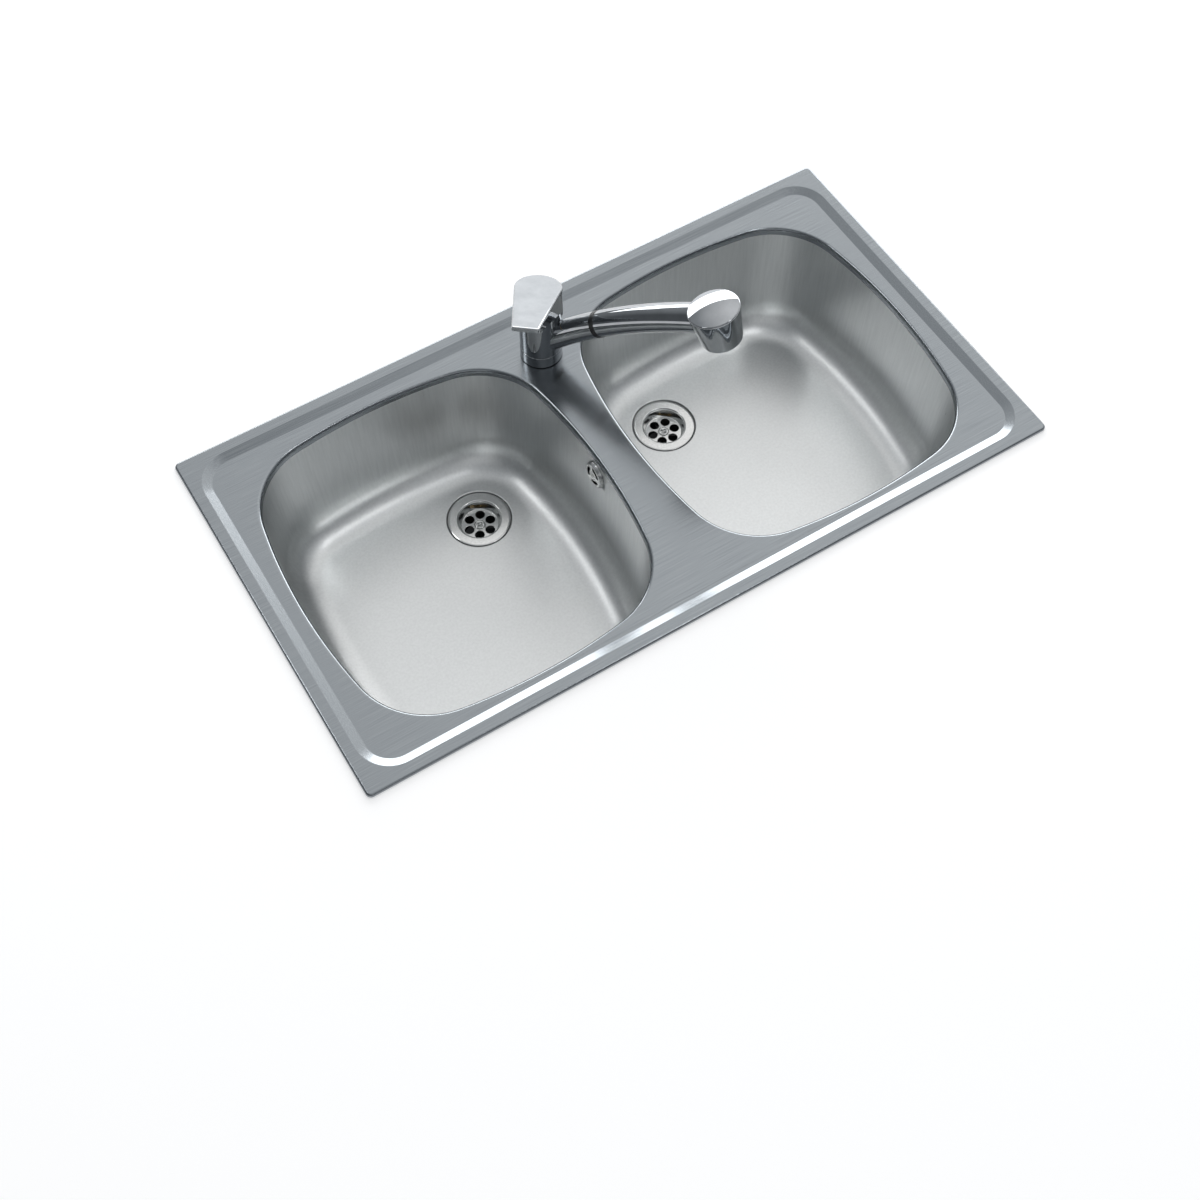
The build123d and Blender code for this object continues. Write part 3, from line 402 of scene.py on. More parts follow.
# Drawn stainless: the draw leaves upright streaks on the walls, which keep more shine than the floor,
# and the floor is ground to an even satin that glows softly.
bowl_steel = surface("drawn_stainless_bowl", "#D2D4D4", "#DCDEDE", roughness=0.37, spread=0.04,
                     grain=(0.35, 0.35, 0.012), depth=0.03)
bowl_tree = bowl_steel.node_tree
bowl_roughness = bowl_tree.nodes["Principled BSDF"].inputs["Roughness"]
bowl_place = add(bowl_tree, "ShaderNodeTexCoord").outputs["Object"]
bowl_height = add(bowl_tree, "ShaderNodeSeparateXYZ", {"Vector": bowl_place}).outputs["Z"]
ground = add(bowl_tree, "ShaderNodeMapRange", {"Value": bowl_height, "From Min": satin_level,
                                               "From Max": shine_level, "To Min": 1.0,
                                               "To Max": wall_shine}, interpolation_type="SMOOTHSTEP")
shine = add(bowl_tree, "ShaderNodeMath", {0: bowl_roughness.links[0].from_socket,
                                          1: ground.outputs["Result"]}, operation="MULTIPLY")
bowl_tree.links.new(shine.outputs[0], bowl_roughness)

# The overflow's frame stands on the left bowl's wall next to the divider, with Z pointing into the bowl.
overflow_x = bowl_x["left"] + bowl_half_x - bowl_roll - (weld_level - overflow_level) * wall_lean
overflow_frame = (Matrix.Translation((overflow_x, bowl_y, overflow_level))
                  @ Matrix.Rotation(radians(wall_draft - 90), 4, "Y"))

for side in bowl_x:
    bowl_mesh = bmesh.new()
    for inner, outer in zip(bowl_skin(bowl_mesh, side, 0.0), bowl_skin(bowl_mesh, side, sheet)):
        bridge(bowl_mesh, inner, outer)
    bowl = finished(bowl_mesh, side + "_drawn_bowl", bowl_steel)
    if side == "left":
        cut(bowl, rod("hole", overflow_hole, -cutter_reach, cutter_reach, overflow_frame, bowl_steel))
    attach(bowl, "sink")
    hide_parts(side + "_bowl")

# ==================================================================== strainer wastes
# A waste's flange, throat and plate are pressed from one polished disc. A cross-slotted screw in the
# plate's dimple pulls it down on to a moulded cup below the bowl, with a rubber ring on each side.

throat_turn = {"left": 0.0, "right": -10.0}
flange_top = -150.6
flange_radius = 35.2
flange_edge = 1.0
throat_lip = 25.4
throat_top = 23.6
throat_foot = 21.0
plate_level = -162.5
plate_edge = 19.6
plate_thickness = 1.0
plate_under = plate_level - plate_thickness
plate_holes = 6
plate_hole = 5.4
plate_hole_edge = 0.35
plate_hole_margin = 0.84
plate_hole_circle = 13.5
dimple_radius = 6.2
dimple_depth = 1.4
screw_head_radius = 5.6
screw_head_height = 2.4
screw_radius = 3.0
screw_length = 24.0
screw_slot = (6.4, 1.3, 2.8)
screw_slot_turns = (25, 115)
# A tail's thread has 11 turns to the inch; its sizes are in metres.
tail_radius = 0.0239
tail_pitch = 0.00231
tail_turns = 8.0
tail_ridge = 0.0007


def node_tree(name, sizes):
    """A Geometry Nodes tree with named inputs for its sizes, and those inputs."""
    tree = bpy.data.node_groups.new(name, "GeometryNodeTree")
    tree.interface.new_socket("Geometry", in_out="OUTPUT", socket_type="NodeSocketGeometry")
    for label in sizes:
        kind = "NodeSocketInt" if label == "Count" else "NodeSocketFloat"
        tree.interface.new_socket(label, in_out="INPUT", socket_type=kind)
    return tree, tree.nodes.new("NodeGroupInput").outputs


def grown(name, tree, geometry, sizes, material, place):
    """The tree's geometry, made with the given sizes, as a plain mesh at its place."""
    plain = add(tree, "GeometryNodeRealizeInstances", {"Geometry": geometry})
    painted = add(tree, "GeometryNodeSetMaterial", {"Geometry": plain.outputs["Geometry"],
                                                    "Material": material})
    add(tree, "NodeGroupOutput", {"Geometry": painted.outputs["Geometry"]})
    piece = bpy.data.objects.new(name, bpy.data.meshes.new(name))
    bpy.context.scene.collection.objects.link(piece)
    modifier = piece.modifiers.new("grow", "NODES")
    modifier.node_group = tree
    for socket in tree.interface.items_tree:
        if socket.in_out == "INPUT":
            modifier[socket.identifier] = sizes[socket.name]
    made_plain(piece)
    piece.data.transform(place)
    piece.data.shade_smooth()
    return piece


def thread(name, radius, pitch, turns, ridge, material, place):
    """A thread's ridge as one helix that climbs Z from its place; sizes in metres."""
    sizes = {"Radius": radius, "Pitch": pitch, "Turns": turns, "Ridge": ridge}
    tree, given = node_tree(name, sizes)
    climb = add(tree, "ShaderNodeMath", {0: given["Pitch"], 1: given["Turns"]}, operation="MULTIPLY")
    helix = add(tree, "GeometryNodeCurveSpiral", {"Resolution": 48, "Rotations": given["Turns"],
                                                  "Start Radius": given["Radius"],
                                                  "End Radius": given["Radius"],
                                                  "Height": climb.outputs[0]})
    section = add(tree, "GeometryNodeCurvePrimitiveCircle", {"Resolution": 4, "Radius": given["Ridge"]})
    swept = add(tree, "GeometryNodeCurveToMesh", {"Curve": helix.outputs["Curve"],
                                                  "Profile Curve": section.outputs["Curve"],
                                                  "Fill Caps": True})
    return grown(name, tree, swept.outputs["Mesh"], sizes, material, place)


# Polypropylene, moulded: black with a low sheen.
black_plastic = surface("moulded_black_plastic", "#1A1B1C", "#242526", roughness=0.45, spread=0.08,
                        grain=(1.5, 1.5, 1.5), depth=0.2, metallic=0.0)

# Stainless polished to a bright satin, with faint turning marks.
strainer_steel = surface("polished_stainless", "#C9CAC9", "#D8D9D8", roughness=0.16, spread=0.04,
                         grain=(0.5, 0.5, 0.5), depth=0.05)

# The disc's line runs from the plate's face up the throat, over the flange and back under the plate.
strainer_line = [(plate_edge, plate_level, 0), (throat_foot, plate_level, 0.8),
                 (throat_top, flange_top - 1.4, 1.6), (throat_lip, flange_top - 0.3, 1.2),
                 (flange_radius - 1.5, flange_top, 4.0), (flange_radius, flange_top - flange_edge / 2, 0.4),
                 (flange_radius, flange_top - flange_edge, 0.2), (27.0, flange_top - 1.3, 2.0),
                 (24.8, flange_top - 2.4, 1.0), (22.0, plate_under, 1.0), (plate_edge, plate_under, 0)]
dimple_wall = dimple_radius + plate_thickness
dimple_line = [(dimple_radius + 1.6, plate_level, 0), (dimple_radius, plate_level, 0.5),
               (dimple_radius, plate_level - dimple_depth, 0.4), (0.0, plate_level - dimple_depth, 0)]
dimple_under = [(dimple_radius + 1.8, plate_under, 0), (dimple_wall, plate_under, 0.2),
                (dimple_wall, plate_under - dimple_depth, 0.4), (0.0, plate_under - dimple_depth, 0)]
hole_line = [(plate_hole + plate_hole_margin, plate_level, 0), (plate_hole, plate_level, plate_hole_edge),
             (plate_hole, plate_under, 0)]
head_foot = plate_level - dimple_depth
head_top = head_foot + screw_head_height
screw_foot = head_foot - screw_length
screw_line = [(0.0, head_top, 0), (screw_head_radius, head_top, 1.0), (screw_head_radius, head_foot, 0),
              (screw_radius, head_foot, 0), (screw_radius, screw_foot, 0.5), (0.0, screw_foot, 0)]

for side in waste_x:
    waste_place = Matrix.Translation((waste_x[side], waste_y, 0))
    strainer_mesh = bmesh.new()
    disc = turned(strainer_mesh, strainer_line)
    upper_rings = [turned(strainer_mesh, dimple_line, count=48, steps=4)[0]]
    lower_rings = [turned(strainer_mesh, dimple_under, count=48, steps=4)[0]]
    for i in range(plate_holes):
        turn = 2 * pi * i / plate_holes + radians(throat_turn[side])
        place = Matrix.Translation((plate_hole_circle * cos(turn), plate_hole_circle * sin(turn), 0))
        hole = turned(strainer_mesh, hole_line, place, count=28, steps=3)
        upper_rings += [hole[0]]
        lower_rings += [hole[-1]]
    # The flat round a hole lies in the plate's plane and laps over the dimple's, by half a millimetre.
    flat_fill(strainer_mesh, disc[0], upper_rings)
    flat_fill(strainer_mesh, disc[-1], lower_rings)
    bmesh.ops.transform(strainer_mesh, matrix=waste_place, verts=strainer_mesh.verts)
    strainer = finished(strainer_mesh, side + "_pressed_strainer", strainer_steel)
    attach(strainer, "sink")
    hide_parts(side + "_waste_strainer")

    screw_mesh = bmesh.new()
    turned(screw_mesh, screw_line, waste_place, count=48)
    screw = finished(screw_mesh, side + "_cross_screw", strainer_steel)
    for turn in screw_slot_turns:
        place = (waste_place @ Matrix.Translation((0, 0, head_top)) @ Matrix.Rotation(radians(turn), 4, "Z")
                 @ Matrix.Diagonal((*screw_slot, 1.0)))
        slot_mesh = bmesh.new()
        bmesh.ops.create_cube(slot_mesh, size=1.0, matrix=place)
        cut(screw, finished(slot_mesh, "slot", strainer_steel))
    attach(screw, "sink")
    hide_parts(side + "_waste_screw")

    tail_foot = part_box(side + "_waste_cup")[0][2]
    tail_place = Matrix.Translation((waste_x[side] / 1000, waste_y / 1000, tail_foot + tail_pitch))
    tail_thread = thread(side + "_tail_thread", tail_radius, tail_pitch, tail_turns, tail_ridge,
                         black_plastic, tail_place)
    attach(tail_thread, "sink")

# ==================================================================== overflow
# A polished cap with three slots stands on the left bowl's wall, held by a screw to the elbow behind it.

rose_foot = 0.35
rose_top = 4.35
rose_radius = 15.5
rose_bore = 12.4
rose_plate = 1.4
well_radius = 4.6
well_outer = 5.6
well_depth = 2.0
well_hole = 2.5
slot_inner = 6.6
slot_outer = 11.2
slot_angle = 84.0
slot_count = 3


def slot_ring(bearing, level, count=12):
    """The ring of a slot whose middle lies at a bearing."""
    points = []
    for radius, order in ((slot_outer, 1), (slot_inner, -1)):
        for i in range(count + 1):
            turn = radians(bearing + order * (i / count - 0.5) * slot_angle)
            points += [(radius * cos(turn), radius * sin(turn), level)]
    return points


rose_mesh = bmesh.new()
rose_under = rose_top - rose_plate
cap = turned(rose_mesh, [(rose_bore + 0.9, rose_top, 0), (rose_radius - 1.8, rose_top, 0.9),
                         (rose_radius, rose_foot + 1.2, 0.8), (rose_radius, rose_foot, 0),
                         (rose_bore, rose_foot, 0), (rose_bore, rose_under, 0.4),
                         (rose_bore - 0.9, rose_under, 0)], count=72, steps=4)
well = turned(rose_mesh, [(well_radius + 0.8, rose_top, 0), (well_radius, rose_top, 0.3),
                          (well_radius, rose_top - well_depth, 0.2), (well_hole, rose_top - well_depth, 0),
                          (well_hole, rose_foot, 0), (well_outer, rose_foot, 0),
                          (well_outer, rose_under, 0)], count=36, steps=3)
slot_tops = []
slot_feet = []
for i in range(slot_count):
    bearing = 90 + 360 / slot_count * i
    slot_tops += [ring(rose_mesh, slot_ring(bearing, rose_top))]
    slot_feet += [ring(rose_mesh, slot_ring(bearing, rose_under))]
    bridge(rose_mesh, slot_tops[-1], slot_feet[-1])
flat_fill(rose_mesh, cap[0], [well[0], *slot_tops])
flat_fill(rose_mesh, cap[-1], [well[-1], *slot_feet])
bmesh.ops.transform(rose_mesh, matrix=overflow_frame, verts=rose_mesh.verts)
rose = finished(rose_mesh, "overflow_cap", strainer_steel)
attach(rose, "sink")
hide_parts("overflow_rose")

# ==================================================================== tap body
# The tap's turned brass pieces are nickel and chrome plated. A plain ring stands on the deck, and the
# spout's sleeve turns above it; a stub leaves the sleeve upwards and carries the spray head's dock.

ring_foot = 1.0
ring_top = 16.0
core_radius = 18.2
core_gap = 0.1
sleeve_radius = 22.5
sleeve_foot = 16.3
sleeve_top = 62.0
sleeve_gap = 0.3
edge_bend = 0.5
ring_step = 0.4
ring_bend = 0.6
trim_radius = 25.6
trim_height = 50.0
trim_gap = 0.01
stub_radius = 14.0
stub_wall = 2.0
stub_rings = 12
stub_overlap = 1.2
bore_overlap = 2.2
bore_end = 0.6
arc_radius = 500.0
root_slope = 44.0
root_height = 41.0
dock_slope = 37.4
spout_bearing = -55.0
# The shank's thread, in metres.
shank_radius = 0.0165
shank_pitch = 0.0015
shank_turns = 28.0
shank_ridge = 0.0004
shank_foot = -0.0452


def resharpened(piece, sharp=38.0):
    """Merges what a cut or a join has left doubled, and shades the piece smooth again."""
    mesh = bmesh.new()
    mesh.from_mesh(piece.data)
    bmesh.ops.remove_doubles(mesh, verts=mesh.verts, dist=2e-6)
    bmesh.ops.dissolve_degenerate(mesh, edges=mesh.edges, dist=1e-6)
    mesh.to_mesh(piece.data)
    mesh.free()
    piece.data.shade_smooth()
    piece.data.set_sharp_from_angle(angle=radians(sharp))


# Bright chrome plate: a mirror with the slightest haze, and a faint blue cast.
chrome = surface("bright_chrome_plate", "#A0A3A6", "#AAADB0", roughness=0.04, spread=0.015,
                 grain=(0.06, 0.06, 0.06), depth=0.0)
# Turned brass: warm, with fine bright turning lines.
turned_brass = surface("turned_brass", "#C19A54", "#D2AF6B", roughness=0.26, spread=0.06,
                       grain=(0.1, 0.1, 3.0), depth=0.3)

tap_frame = Matrix.Translation((0, tap_y, 0))
spout_frame = tap_frame @ Matrix.Rotation(radians(spout_bearing), 4, "Z")

base_mesh = bmesh.new()
ring_bore = core_radius + core_gap
ring_radius = sleeve_radius + ring_step
turned(base_mesh, [(ring_bore, ring_foot, 0), (ring_radius, ring_foot, ring_bend),
                   (ring_radius, ring_top, ring_bend), (ring_bore, ring_top, 0)],
       tap_frame, count=128, closed=True)
base_ring = finished(base_mesh, "tap_foot_ring", chrome)
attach(base_ring, "sink")
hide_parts("tap_base_ring")

# Below the deck the shank's fine thread takes the back nut that holds the tap down.
shank_thread = thread("shank_thread", shank_radius, shank_pitch, shank_turns, shank_ridge, turned_brass,
                      Matrix.Translation((0, tap_y / 1000, shank_foot)))
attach(shank_thread, "sink")

# The spout's centre line is one long arc in the upright plane through the tap's axis.
arc_x = sleeve_radius + arc_radius * sin(radians(root_slope))
arc_z = root_height - arc_radius * cos(radians(root_slope))


def on_arc(slope):
    """The frame on the centre line where it climbs at `slope` degrees, its Z along the flow."""
    turn = radians(slope)
    place = Vector((arc_x - arc_radius * sin(turn), 0, arc_z + arc_radius * cos(turn)))
    flow = Vector((cos(turn), 0, sin(turn)))
    across = Vector((0, 1, 0))
    return Matrix.Translation(place) @ Matrix((across, flow.cross(across), flow)).transposed().to_4x4()


def tube(name, radii, slopes, material, count=96):
    """A solid tube along the arc, its radius given at each slope."""
    mesh = bmesh.new()
    rings = []
    for radius, slope in zip(radii, slopes):
        here = on_arc(slope)
        rings += [ring(mesh, [here @ Vector(p) for p in circle(radius, 0.0, count=count)])]
    capped(mesh, rings)
    bmesh.ops.transform(mesh, matrix=spout_frame, verts=mesh.verts)
    return finished(mesh, name, material)


def evenly(first, last, count):
    """Evenly spread values from the first to the last."""
    return [first + (last - first) * i / (count - 1) for i in range(count)]


sleeve_mesh = bmesh.new()
turned(sleeve_mesh, [(0, sleeve_foot, 0), (sleeve_radius, sleeve_foot, edge_bend),
                     (sleeve_radius, sleeve_top, edge_bend), (0, sleeve_top, 0)], tap_frame, count=192)
sleeve = finished(sleeve_mesh, "swivel_sleeve", chrome)
stub_slopes = evenly(root_slope + stub_overlap, dock_slope, stub_rings)
combined(sleeve, tube("stub", [stub_radius] * stub_rings, stub_slopes, chrome), "UNION")
# The stub is trimmed level with the sleeve's top, and both are bored.
cut(sleeve, rod("above", trim_radius, sleeve_top + trim_gap, sleeve_top + trim_height, tap_frame, chrome,
                count=96))
bore_slopes = evenly(root_slope + bore_overlap, dock_slope - bore_end, stub_rings)
cut(sleeve, tube("bore", [stub_radius - stub_wall] * stub_rings, bore_slopes, chrome, count=64))
cut(sleeve, rod("bore", core_radius + sleeve_gap, sleeve_foot - 1, sleeve_top + 1, tap_frame, chrome,
                count=96))
resharpened(sleeve)
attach(sleeve, "spout")
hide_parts("swivel_spout")

# ==================================================================== spray head and its dock
# A black acetal ring at the stub's mouth guides the head's spigot. The head is a plated shell: a wand
# that widens slightly along the arc, run into the nozzle's bell, with a grey face of rubber jets below.

dock_width = 6.0
dock_bore = 8.85
dock_plug = 11.5
dock_depth = 16.0
dock_step = 0.3
dock_gap = 0.2
wand_slopes = (36.71, 22.3)
wand_end = 15.5
wand_rings = 24
nozzle_reach = 201.1
nozzle_height = 122.7
nozzle_tilt = 17.0
nozzle_radius = 21.0
head_radius = 27.0
head_height = 41.5
head_crown = 4.0
crown_margin = 1.2
crown_steps = 12
face_radius = 17.6
face_recess = 1.0
face_gap = 0.1
spigot_radius = 8.8
spigot_root = 2.0
spigot_step = 30.0
spigot_tail_radius = 7.2
spigot_end = 39.0
spigot_bore = 5.2
spigot_floor = 34.0

# Black acetal, machined: close to black, with a low sheen and fine turning lines.
acetal = surface("black_acetal", "#101112", "#18191A", roughness=0.34, spread=0.06, grain=(0.9, 0.9, 0.9),
                 depth=0.15, metallic=0.0)

dock_frame = spout_frame @ on_arc(dock_slope)
dock_radius = stub_radius + dock_step
dock_mesh = bmesh.new()
turned(dock_mesh, [(dock_bore, dock_width, 0.3), (dock_radius, dock_width, 0.5), (dock_radius, 0, 0.3),
                   (dock_plug, 0, 0), (dock_plug, -dock_depth, 0.5), (dock_bore, -dock_depth, 0.3)],
       dock_frame, closed=True)
dock = finished(dock_mesh, "spray_dock", acetal)
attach(dock, "spout")
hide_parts("spray_dock_ring")

nozzle_frame = (spout_frame @ Matrix.Translation((nozzle_reach, 0, nozzle_height))
                @ Matrix.Rotation(radians(-nozzle_tilt), 4, "Y"))
crown_sphere = (head_radius ** 2 + head_crown ** 2) / (2 * head_crown)
crown_centre = head_height + head_crown - crown_sphere
crown = []
for i in range(crown_steps + 1):
    radius = (head_radius - crown_margin) * (1 - i / crown_steps)
    crown += [(radius, crown_centre + sqrt(crown_sphere ** 2 - radius ** 2), 0)]
bell_mesh = bmesh.new()
turned(bell_mesh, [(0, face_recess, 0), (face_radius + face_gap, face_recess, 0),
                   (face_radius + face_gap, 0, 0.6), (nozzle_radius, 0, 2.0),
                   (head_radius, head_height, 1.6), *crown], nozzle_frame, count=160)
spray_head = finished(bell_mesh, "pull_out_head", chrome)
combined(spray_head, tube("wand", evenly(stub_radius, wand_end, wand_rings),
                          evenly(*wand_slopes, wand_rings), chrome, count=128), "UNION")
spigot_mesh = bmesh.new()
turned(spigot_mesh, [(0, spigot_root, 0), (spigot_radius, spigot_root, 0),
                     (spigot_radius, -spigot_step, 0.4), (spigot_tail_radius, -spigot_step, 0),
                     (spigot_tail_radius, -spigot_end, 0.4), (spigot_bore, -spigot_end, 0),
                     (spigot_bore, -spigot_floor, 0), (0, -spigot_floor, 0)],
       dock_frame @ Matrix.Translation((0, 0, dock_width + dock_gap)), count=64)
combined(spray_head, finished(spigot_mesh, "spigot", chrome), "UNION")
resharpened(spray_head)
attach(spray_head, "spray")
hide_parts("spray_head")

# Grey plastic, moulded: a soft sheen that looks dull beside the chrome.
grey_plastic = surface("moulded_grey_plastic", "#6A6D70", "#787B7E", roughness=0.4, spread=0.06,
                       grain=(1.0, 1.0, 1.0), depth=0.15, metallic=0.0)

# The face's jets each have a soft raised lip, so that scale can be rubbed off them; sizes in metres.
jet_sizes = {"Count": 12, "Circle": 0.012, "Lip": 0.0013, "Thickness": 0.0004}
jet_tree, jet_inputs = node_tree("jets", jet_sizes)
jet_points = add(jet_tree, "GeometryNodeMeshCircle", {"Vertices": jet_inputs["Count"],
                                                      "Radius": jet_inputs["Circle"]})
lip_path = add(jet_tree, "GeometryNodeCurvePrimitiveCircle", {"Resolution": 20,
                                                              "Radius": jet_inputs["Lip"]})
lip_section = add(jet_tree, "GeometryNodeCurvePrimitiveCircle", {"Resolution": 8,
                                                                 "Radius": jet_inputs["Thickness"]})
lip = add(jet_tree, "GeometryNodeCurveToMesh", {"Curve": lip_path.outputs["Curve"],
                                                "Profile Curve": lip_section.outputs["Curve"]})
lips = add(jet_tree, "GeometryNodeInstanceOnPoints", {"Points": jet_points.outputs["Mesh"],
                                                      "Instance": lip.outputs["Mesh"]})
face_place = nozzle_frame.copy()
face_place.translation = (nozzle_frame @ Vector((0, 0, face_recess))) / 1000
jets = grown("spray_jets", jet_tree, lips.outputs["Instances"], jet_sizes, grey_plastic, face_place)
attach(jets, "spray")

# ==================================================================== lever
# A plated zinc casting: a round hub, hollow over the tap's dome, and a flat blade that narrows to its tip.

lever_bearing = 231.5
lever_reach = 82.5
lever_tip = 140.0
lever_rise = 22.0
lever_foot = 40.0
lever_edge = 2.2
lever_edge_steps = 6
lever_edge_margin = 1.15
lever_tip_width = 28.4
lever_tip_thickness = 5.5
lever_tip_corner = 3.0
lever_tip_steps = 8
blade_start = 36.0
hub_radius = 25.0
hub_steps = 64
hub_front = 63.2
hub_back = 77.5
hub_under = 91.0
hub_front_gap = 0.03
hub_front_steps = 48
pivot_height = 66.0
dome_radius = 21.8
dome_gap = 0.4
dome_steps = 32
wedge_back = -60.0
wedge_front = 120.0
wedge_foot = 20.0
wedge_half_width = 60.0
corner_margin = 1.0
corner_half_width = 30.0
hollow_foot = 30.0

lever_frame = tap_frame @ Matrix.Rotation(radians(lever_bearing), 4, "Z")

# Seen from above: the round hub at the back, straight sides and a tip with small corners.
half_tip = lever_tip_width / 2
lean = atan2(hub_radius - half_tip, lever_reach)
plan = []
for i in range(hub_steps + 1):
    turn = pi / 2 - lean + (pi + 2 * lean) * i / hub_steps
    plan += [(hub_radius * cos(turn), hub_radius * sin(turn))]
for corner_y, first in ((-half_tip, -pi / 2), (half_tip, 0.0)):
    inward = lever_tip_corner * (1 if corner_y < 0 else -1)
    for i in range(lever_tip_steps + 1):
        turn = first + (pi / 2) * i / lever_tip_steps
        plan += [(lever_reach - lever_tip_corner + lever_tip_corner * cos(turn),
                  corner_y + inward + lever_tip_corner * sin(turn))]


def inset_plan(distance):
    """The plan moved inwards by a distance along its own normals."""
    count = len(plan)
    moved = []
    for i in range(count):
        before = Vector(plan[i - 1])
        after = Vector(plan[(i + 1) % count])
        along = (after - before).normalized()
        moved += [(plan[i][0] - along.y * distance, plan[i][1] + along.x * distance)]
    return moved


def lever_top(x):
    """The lever's flat top, which climbs to the tip."""
    return lever_tip - (lever_reach - x) * tan(radians(lever_rise))


def lever_under(x):
    """The blade's underside, whose line runs on back to the middle of the hub."""
    tip_foot = lever_tip - lever_tip_thickness
    return tip_foot - (lever_reach - x) * (tip_foot - hub_under) / (lever_reach - hub_radius)


def rim_level(x):
    """The hub's sloping rim, carried on in front of it and behind it."""
    return hub_back + (x + hub_radius) * (hub_front - hub_back) / (2 * hub_radius)


# Rings from the foot up the side, over a rounded edge and in across the top.
lever_mesh = bmesh.new()
edge_margin = lever_edge * lever_edge_margin
lever_rings = [ring(lever_mesh, [(x, y, lever_foot) for x, y in plan]),
               ring(lever_mesh, [(x, y, lever_top(x) - edge_margin) for x, y in plan])]
for i in range(lever_edge_steps + 1):
    turn = (pi / 2) * i / lever_edge_steps
    drop = lever_edge * (1 - sin(turn))
    edge_plan = inset_plan(lever_edge * (1 - cos(turn)))
    lever_rings += [ring(lever_mesh, [(x, y, lever_top(x) - drop) for x, y in edge_plan])]
lever_rings += [ring(lever_mesh, [(x, y, lever_top(x)) for x, y in inset_plan(edge_margin)])]
capped(lever_mesh, lever_rings)
bmesh.ops.transform(lever_mesh, matrix=lever_frame, verts=lever_mesh.verts)
lever = finished(lever_mesh, "cast_lever", chrome)

# What lies below the hub's rim and the blade's underside is cut away with one wide wedge.
wedge_mesh = bmesh.new()
wedge_line = [(wedge_back, wedge_foot), (wedge_front, wedge_foot), (wedge_front, lever_under(wedge_front)),
              (blade_start, lever_under(blade_start)), (blade_start, rim_level(blade_start)),
              (wedge_back, rim_level(wedge_back))]
capped(wedge_mesh, [ring(wedge_mesh, [(x, y, z) for x, z in wedge_line])
                    for y in (-wedge_half_width, wedge_half_width)])
bmesh.ops.transform(wedge_mesh, matrix=lever_frame, verts=wedge_mesh.verts)
cut(lever, finished(wedge_mesh, "wedge", chrome))

# Below the blade the hub is round in front too, so the corners outside it go.
front_radius = hub_radius - hub_front_gap
front = [(front_radius * sin(turn), -front_radius * cos(turn))
         for turn in evenly(lean, pi - lean, hub_front_steps + 1)]
touch = front[0][0]
beyond = blade_start + corner_margin
around = [(touch, corner_half_width), (beyond, corner_half_width), (beyond, -corner_half_width),
          (touch, -corner_half_width), *front]
corner_mesh = bmesh.new()
low = ring(corner_mesh, [(x, y, lever_foot) for x, y in around])
high = ring(corner_mesh, [(x, y, lever_under(x)) for x, y in around])
bridge(corner_mesh, low, high)
flat_fill(corner_mesh, low)
flat_fill(corner_mesh, high)
bmesh.ops.transform(corner_mesh, matrix=lever_frame, verts=corner_mesh.verts)
cut(lever, finished(corner_mesh, "corners", chrome))

# Inside, the hub clears the dome: half a ball above the pivot and a straight bore below it.
hollow_radius = dome_radius + dome_gap
hollow_line = [(hollow_radius * sin(turn), pivot_height + hollow_radius * cos(turn), 0)
               for turn in evenly(0.0, pi / 2, dome_steps + 1)]
hollow_mesh = bmesh.new()
turned(hollow_mesh, [*hollow_line, (hollow_radius, hollow_foot, 0), (0, hollow_foot, 0)], tap_frame)
cut(lever, finished(hollow_mesh, "hollow", chrome))
resharpened(lever, 32)
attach(lever, "lever")
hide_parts("mixer_lever")

# ==================================================================== hidden pieces
# The seals, cups, clips and the tap's inner pieces keep their plain forms, in the finishes they have:
# moulded plastic, rubber, foam, bitumen, turned brass and zinc-plated steel.

# Rubber: near black and matt.
black_rubber = surface("black_rubber", "#161717", "#202121", roughness=0.75, spread=0.08,
                       grain=(1.2, 1.2, 1.2), depth=0.3, metallic=0.0)
# Foam: dark grey, with open pores that take all shine.
grey_foam = surface("grey_foam", "#3C3D3E", "#5A5B5C", roughness=0.95, spread=0.04, grain=(2.0, 2.0, 2.0),
                    depth=1.0, metallic=0.0)
# Bitumen: dark and coarse, with a dull surface.
bitumen = surface("bitumen_pad", "#2A2A2C", "#3A3A3C", roughness=0.85, spread=0.08, grain=(0.5, 0.5, 0.5),
                  depth=0.8, metallic=0.0)
# Pale plastic: warm off-white with a soft sheen.
pale_plastic = surface("moulded_pale_plastic", "#CFCEC8", "#DCDBD6", roughness=0.4, spread=0.06,
                       grain=(1.0, 1.0, 1.0), depth=0.1, metallic=0.0)
# Zinc plate: pale grey metal with a cloudy, half-dull shine.
zinc_plate = surface("zinc_plate", "#A8ACB0", "#C2C5C8", roughness=0.36, spread=0.1, grain=(0.3, 0.3, 0.3),
                     depth=0.2)
dressed = {
    black_rubber: ["left_waste_upper_seal", "right_waste_upper_seal", "left_waste_lower_seal",
                   "right_waste_lower_seal", "overflow_seal", "tap_seal", "tap_rubber_washer"],
    grey_foam: ["rim_seal"],
    bitumen: ["left_sound_pad", "right_sound_pad"],
    black_plastic: ["left_waste_cup", "right_waste_cup", "overflow_elbow"],
    pale_plastic: ["cartridge", "cartridge_driver", "tap_slide_rings"],
    grey_plastic: ["spray_face", "lever_plug"],
    turned_brass: ["left_waste_insert", "right_waste_insert", "tap_core", "tap_shank", "tap_back_nut",
                   "cartridge_nut", "lever_stem"],
    zinc_plate: ["clip_brackets", "clip_claws", "clip_screws", "tap_steel_washer", "lever_screw"],
    strainer_steel: ["overflow_screw", "lever_pin"],
    chrome: ["tap_dome"],
}
for material, names in dressed.items():
    for name in names:
        for material_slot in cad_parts[name].material_slots:
            material_slot.material = material

